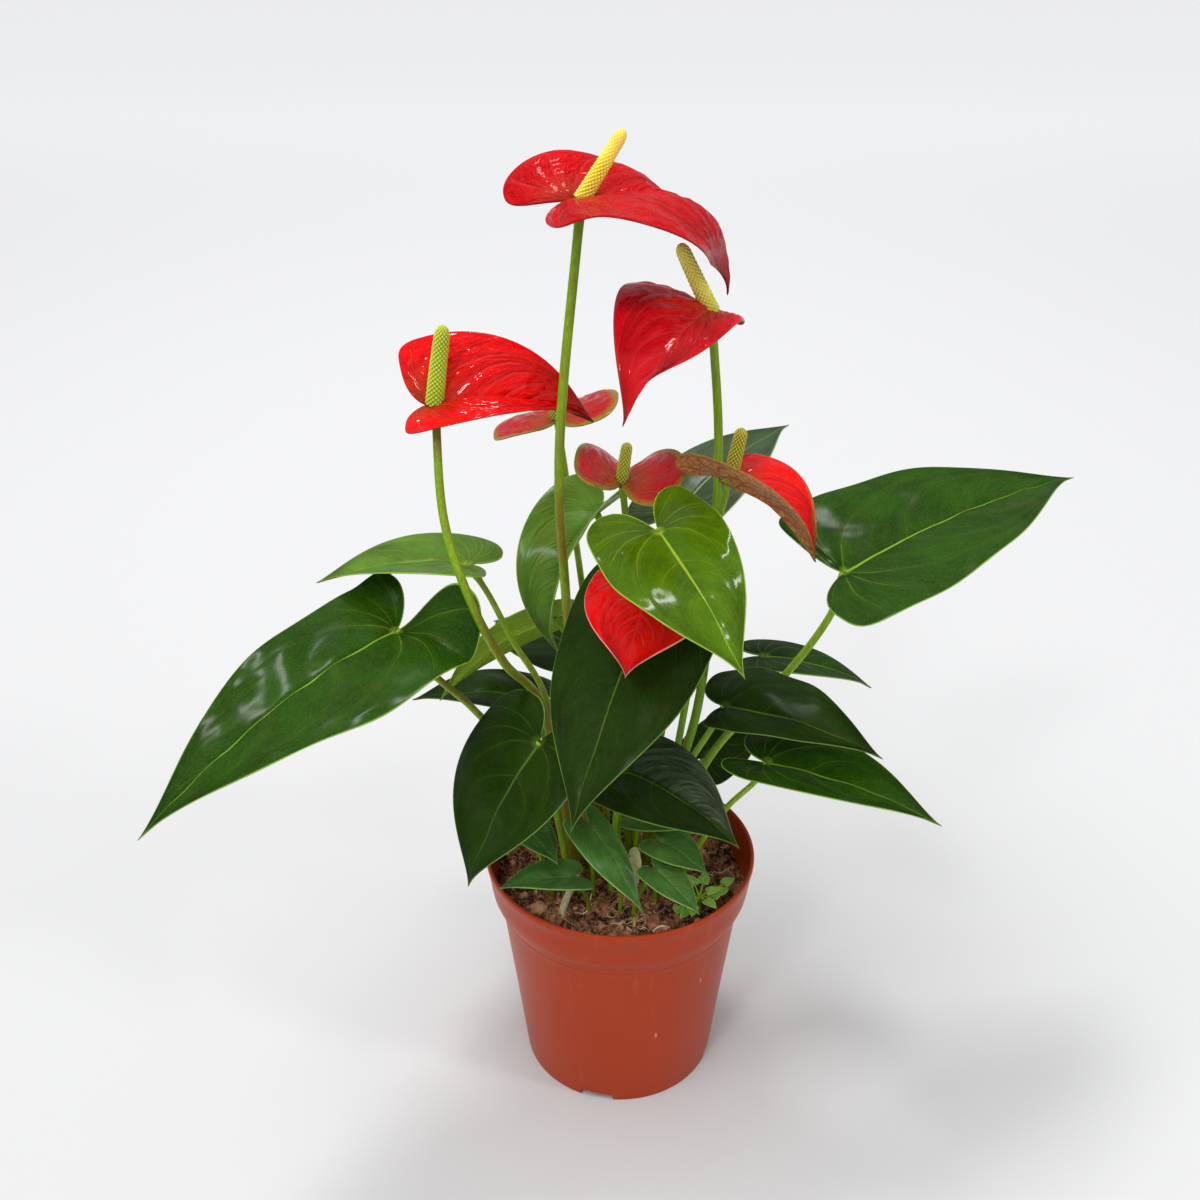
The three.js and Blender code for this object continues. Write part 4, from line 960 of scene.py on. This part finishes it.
flower_stalk_skin = stalk_skin("flower_stalk_skin", (0.2, 0.37, 0.004), (0.24, 0.1, 0.01))
flowers = [
    dict(
        joint=(-19, -5, 392), tip=(39, 16, 354), width=64, back=18.5, roll=12, left=24, right=24, droop=98,
        lobes=(1.15, 0.7), shares=(0.92, 1.4), curls=(-15, -15), root=(-12, -7),
        via=[(-19, 3, 180), (-23, 3, 236), (-24, -17, 305)], radius=1.9, reach=(15, 2, 23), girth=2.8,
        ends=(-90, -58), late=3.5, lifts=(-5, -11), snap=4, spathe="crimson", spadix="ripe",
    ),
    dict(
        joint=(34, 15, 348), tip=(-1, -30, 318), width=58, back=15, roll=-24, left=20, right=10, droop=100,
        shares=(0.4, 1.15), curls=(-45, -35), twist=-15, root=(13, 8), via=[(33, 8, 178), (38, 15, 290)],
        radius=1.9, reach=(-13, -5, 26), girth=3.1, ends=(-150, 10), lobes=(0.9, 1.1), spathe="ruby",
        spadix="pale",
    ),
    dict(
        joint=(-74, -5, 318), tip=(-11, 8, 307), width=52, back=9, roll=30, left=38, right=18, curl=-20,
        droop=60, root=(-20, -9), via=[(-34, -3, 187), (-47, -23, 218), (-58, -36, 253), (-67, -26, 280)],
        radius=1.8, reach=(5, -2, 30), girth=3.3, ends=(60, 50), lobes=(0.65, 0.8), shares=(1, 0.62),
        spathe="red", spadix="lime",
    ),
    dict(
        joint=(-28, 70, 286), tip=(-24, 110, 278), width=58, back=12, roll=-18, fold=8, curl=-10, droop=40,
        lifts=(5, 0), root=(-8, 17), via=[(-14, 44, 190), (-24, 66, 262)], radius=1.5, reach=(-3, 0, 21),
        girth=2.8, spathe="turning", spadix="olive",
    ),
    dict(
        joint=(-1, -5, 286), tip=(4, 30, 276), width=56, back=13, roll=0, curl=-5, droop=50, lifts=(5, -2),
        root=(4, 9), via=[(4, 13, 200), (3, 15, 245)], radius=1.5, reach=(2, -1, 16), girth=2.4, left=36,
        right=16, shares=(0.76, 0.92), ends=(36, 55), spathe="turning", spadix="olive",
    ),
    dict(
        joint=(37, -10, 291), tip=(72, -30, 265), width=48, back=14, roll=14, left=0, right=56, curl=-10,
        droop=60, root=(17, 0), via=[(30, 6, 200), (36, 4, 255)], radius=1.5, reach=(4, 0, 21), girth=2.8,
        ends=(42, 76), lobes=(0.15, 0.85), lifts=(0, -8), spathe="bright", spadix="olive",
    ),
    dict(
        joint=(11, -25, 257), tip=(0, -65, 235), width=52, back=12, roll=0, fold=-4, curl=-20, droop=30,
        root=(7, 1), via=[(13, 8, 220), (12.5, 5, 248), (12, -14, 259)], radius=1.4, reach=(0, 2, 13),
        girth=2.4, spathe="pink_edged", spadix="olive",
    ),
]
flower_keys = (*stalk_keys, "reach", "girth", "spathe", "spadix")
seat_ahead = 3.5
for number, flower in enumerate(flowers):
    name = f"flower_{number + 1}"
    stalk = {key: flower[key] for key in stalk_keys}
    form = {key: flower[key] for key in flower if key not in flower_keys}
    place, _, _, length = blade_form(**form)
    seat = place(np.array(seat_ahead / length), np.array(0.0))
    spathe = grow_blade(
        f"{name}_spathe", form, spathe_skins[flower["spathe"]], veins=7, sweep=(0.4, 0.6), quilt=0.8,
        puff=0.7, blister=0.14, rib=1.0, detail=1.0, thickness=0.7, seed=300 + 2 * number,
    )
    spadix = grow_spadix(
        f"{name}_spadix", seat, flower["reach"], flower["girth"], spadix_skins[flower["spadix"]],
        worn=0.85 if flower["spadix"] == "ripe" else 0,
    )
    stem = grow_stalk(f"{name}_stalk", seat=seat, knuckle=0.1, material=flower_stalk_skin, **stalk)
    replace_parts(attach(spathe, "root"), f"{name}_spathe")
    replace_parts(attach(spadix, "root"), f"{name}_spadix")
    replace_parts(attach(stem, "root"), f"{name}_stalk")


# Seedling: a weed that came up in the pot, with round bright-green leaves on threads of stems, one
# up out of the soil and the others off its top.
sprout_skin = leaf_skin("sprout_skin", (0.24, 0.55, 0.05), (0.4, 0.65, 0.15), (0.25, 0.45, 0.08), gloss=0.3)
sprout_foot, sprout_joint = (34, -27), (34, -26, 103)
sprout_leaves = [
    ((29, -29, 104), (23, -31, 105)),
    ((31, -33, 103), (30, -39, 103)),
    ((37, -30, 104), (41, -35, 104)),
    ((38, -25, 105), (44, -24, 106)),
    ((36, -21, 107), (38, -15, 108)),
    ((32, -22, 107), (29, -17, 108)),
    ((25, -30, 101), (24, -34, 100)),
    ((29, -33, 102), (25, -37, 100)),
    ((40, -26, 103), (44, -21, 102)),
    ((43, -22, 102), (48, -18, 101)),
    ((46, -16, 102), (51, -12, 102)),
]
sprout = grow_stalk("seedling_stem", sprout_foot, [], sprout_joint, 0.8, leaf_stalk_skin)
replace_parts(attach(sprout, "root"), "seedling")
for number, (joint, tip) in enumerate(sprout_leaves):
    form = dict(joint=joint, tip=tip, width=5, back=1, droop=20)
    blade = grow_blade(
        f"seedling_leaf_{number + 1}", form, sprout_skin, veins=3, quilt=0.1, blister=0.03, rib=0.2,
        detail=0.4,
    )
    way = np.linspace(sprout_joint, joint, 6)
    stem = grow_tube(
        f"seedling_thread_{number + 1}", way, 0.45, 10, leaf_stalk_skin, along=0.5, end=9, sunny=0.2,
    )
    for made in (blade, stem):
        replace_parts(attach(made, "root"), "seedling")


# Dry sheath: the papery, cream-green wrapper of a leaf that has already opened, left standing at the
# foot of the plant, ribbed lengthwise and torn to a point.
sheath_skin, shader = finish("sheath_skin", Roughness=0.65)
place = place_of(sheath_skin)
rib = place.node("ShaderNodeMapping", {"Vector": place, "Scale": (1, 1, 0.1)}).noise(1200)
colour = field(sheath_skin, "along").step(0.2, 0.9).tint((0.8, 0.78, 0.35), (0.95, 0.88, 0.55))
colour = (rib.step(0.4, 0.7) * 0.5).tint(colour, (0.3, 0.22, 0.1))
feed(shader, colour, None, rib, 0.0004)
sheath_root, sheath_top, sheath_radius = (-25, -29), (-18, -24, 115), 1.5
way = flowing([(*sheath_root, foot_level), (*sheath_root, clear_level), sheath_top], 40)
share = np.linspace(0, 1, len(way))[:, None]
turn = np.arange(48) * 2 * np.pi / 48
pointed = np.sqrt((1 - ((share - 0.8) / 0.2).clip(0, 1) ** 2).clip(0.01, 1))
girth = sheath_radius * (1.15 - 0.25 * share) * pointed
girth = girth * (1 + 0.05 * np.cos(12 * turn) + 0.05 * np.sin(3 * turn + share * 5))
sheath = grow_tube("sheath_wrapper", way, girth, 48, sheath_skin, along=share)
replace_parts(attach(sheath, "root"), "dry_sheath")


# Litter: two reddish chunks of coir, pale bits of root and a green stub of a shoot that lie on the
# soil at the front, where the leaves leave it bare, and two white grains of perlite.
litter = (
    ((-4.7, -32.9), (0, -36), (4.6, -41.2), 0.5),
    ((13.3, -38), (17, -36.6), (21, -36.8), 0.45),
    ((-13.4, -21.8), (-12.8, -18), (-11.2, -15.6), 0.4),
    ((-19.9, -27), (-16, -26.4), (-12.5, -24.4), 0.35),
    ((-27.6, -16.8), (-28, -15), (-27.2, -12.5), 0.6),
    ((2.7, -30), (5.6, -33), (5.6, -37.4), 0.9),
)
stub_skin, shader = finish("stub_skin", Roughness=0.45)
feed(shader, field(stub_skin, "along").tint((0.3, 0.36, 0.06), (0.5, 0.5, 0.16)))
for number, (*spots, thickness) in enumerate(litter):
    line = []
    for (x, y), lift in zip(spots, (0.7, 1.6, 0.7)):
        line.append((x, y, float(soil_height(x, y)) + thickness * lift))
    way = flowing(line, 12)
    share = np.linspace(0, 1, len(way))[:, None]
    girth = thickness * (0.35 + 0.65 * np.sin(np.pi * share.clip(0.08, 0.92)) ** 0.5)
    bit_skin = stub_skin if number == len(litter) - 1 else root_skin
    bit = grow_tube(f"litter_{number + 1}", way, girth, 12, bit_skin, along=share, shade=0.3 + 0.1 * number)
    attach(bit, "root")

turn = np.linspace(0, np.pi, 22)
profile = np.stack([np.sin(turn), -np.cos(turn)], -1)
points, faces = turned(profile, 40)
for name, (x, y), size, skin in (
    ("chunk", (-36, -24.5), (4.4, 3.6, 2.8), soil_coir),
    ("small_chunk", (-42.5, -14.5), (2, 1.7, 1.5), soil_coir),
    ("grain_1", (-50, -6.8), (0.9, 0.8, 0.8), root_skin),
    ("grain_2", (-40.4, -8), (0.6, 0.6, 0.6), root_skin),
):
    rough = 1 + 0.13 * swell(points * 2, 2.2, 61)[:, None] + 0.06 * swell(points * 2, 0.8, 62)[:, None]
    lump_points = points * size * rough + (x, y, float(soil_height(x, y)) + size[2] * 0.45)
    made = new_mesh(name, lump_points, faces, skin, shade=0.85)
    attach(made, "root")


# Studio: a plain pale floor, painted lighter far off to make up for the light that falls off away
# from the lamps, broad soft light off the ceiling and the facing wall, and three square lamps whose
# reflections lie on the glossy blades. The camera looks down on the plant from the front, as a
# person standing at a table does.
floor_mesh = bpy.data.meshes.new("floor")
floor_mesh.from_pydata([(-30, -30, 0), (30, -30, 0), (30, 30, 0), (-30, 30, 0)], [], [(0, 1, 2, 3)])
floor = bpy.data.objects.new("floor", floor_mesh)
bpy.context.scene.collection.objects.link(floor)
floor_paper, shader = finish("floor_paper", Roughness=0.8, Specular_IOR_Level=0.2)
place = place_of(floor_paper)
# The floor is painted lighter far off, to make up for the light falling off away from the lamps.
distance = place.node("ShaderNodeSeparateXYZ", {"Vector": place}, output=1)
feed(shader, distance.step(-0.5, 4).tint((0.64, 0.64, 0.645), (0.97, 0.97, 0.98)))
floor_mesh.materials.append(floor_paper)


def lamp(name, place, aim, size, power):
    """A square soft light of that size in metres, at a place, turned to face a point."""
    light = bpy.data.lights.new(name, "AREA")
    light.size = size
    light.energy = power
    made = bpy.data.objects.new(name, light)
    made.location = place
    towards = np.subtract(aim, place)
    pitch = np.arctan2(np.hypot(towards[0], towards[1]), -towards[2])
    made.rotation_euler = (pitch, 0, np.arctan2(-towards[0], towards[1]))
    bpy.context.scene.collection.objects.link(made)


plant_middle = (0, 0, 0.2)
lamp("window_above", (-0.25, 0.52, 2.25), plant_middle, size=0.42, power=18)
lamp("window_left", (-0.72, -1.55, 1.77), plant_middle, size=0.26, power=7)
lamp("window_right", (1.6, -0.8, 1.6), plant_middle, size=0.28, power=8)
for name, spread, power, lean in (
    ("ceiling", 45, 1.4, (12, -18, 0)), ("facing_wall", 60, 0.6, (55, 0, -10)),
):
    light = bpy.data.lights.new(name, "SUN")
    light.angle = np.radians(spread)
    light.energy = power
    made = bpy.data.objects.new(name, light)
    made.rotation_euler = tuple(np.radians(lean))
    made.visible_glossy = False
    bpy.context.scene.collection.objects.link(made)

room = bpy.data.worlds.new("pale_room")
room.use_nodes = True
room.node_tree.nodes["Background"].inputs["Color"].default_value = (0.97, 0.985, 1.0, 1)
room.node_tree.nodes["Background"].inputs["Strength"].default_value = 0.38
bpy.context.scene.world = room
bpy.context.scene.view_settings.view_transform = "Standard"

lens = bpy.data.cameras.new("camera")
lens.sensor_width = 36
lens.lens = 39
camera = bpy.data.objects.new("camera", lens)
camera.location = (-0.009, -0.471, 0.472)
camera.rotation_euler = (np.radians(90 - 26.8), 0, 0)
bpy.context.scene.collection.objects.link(camera)
bpy.context.scene.camera = camera
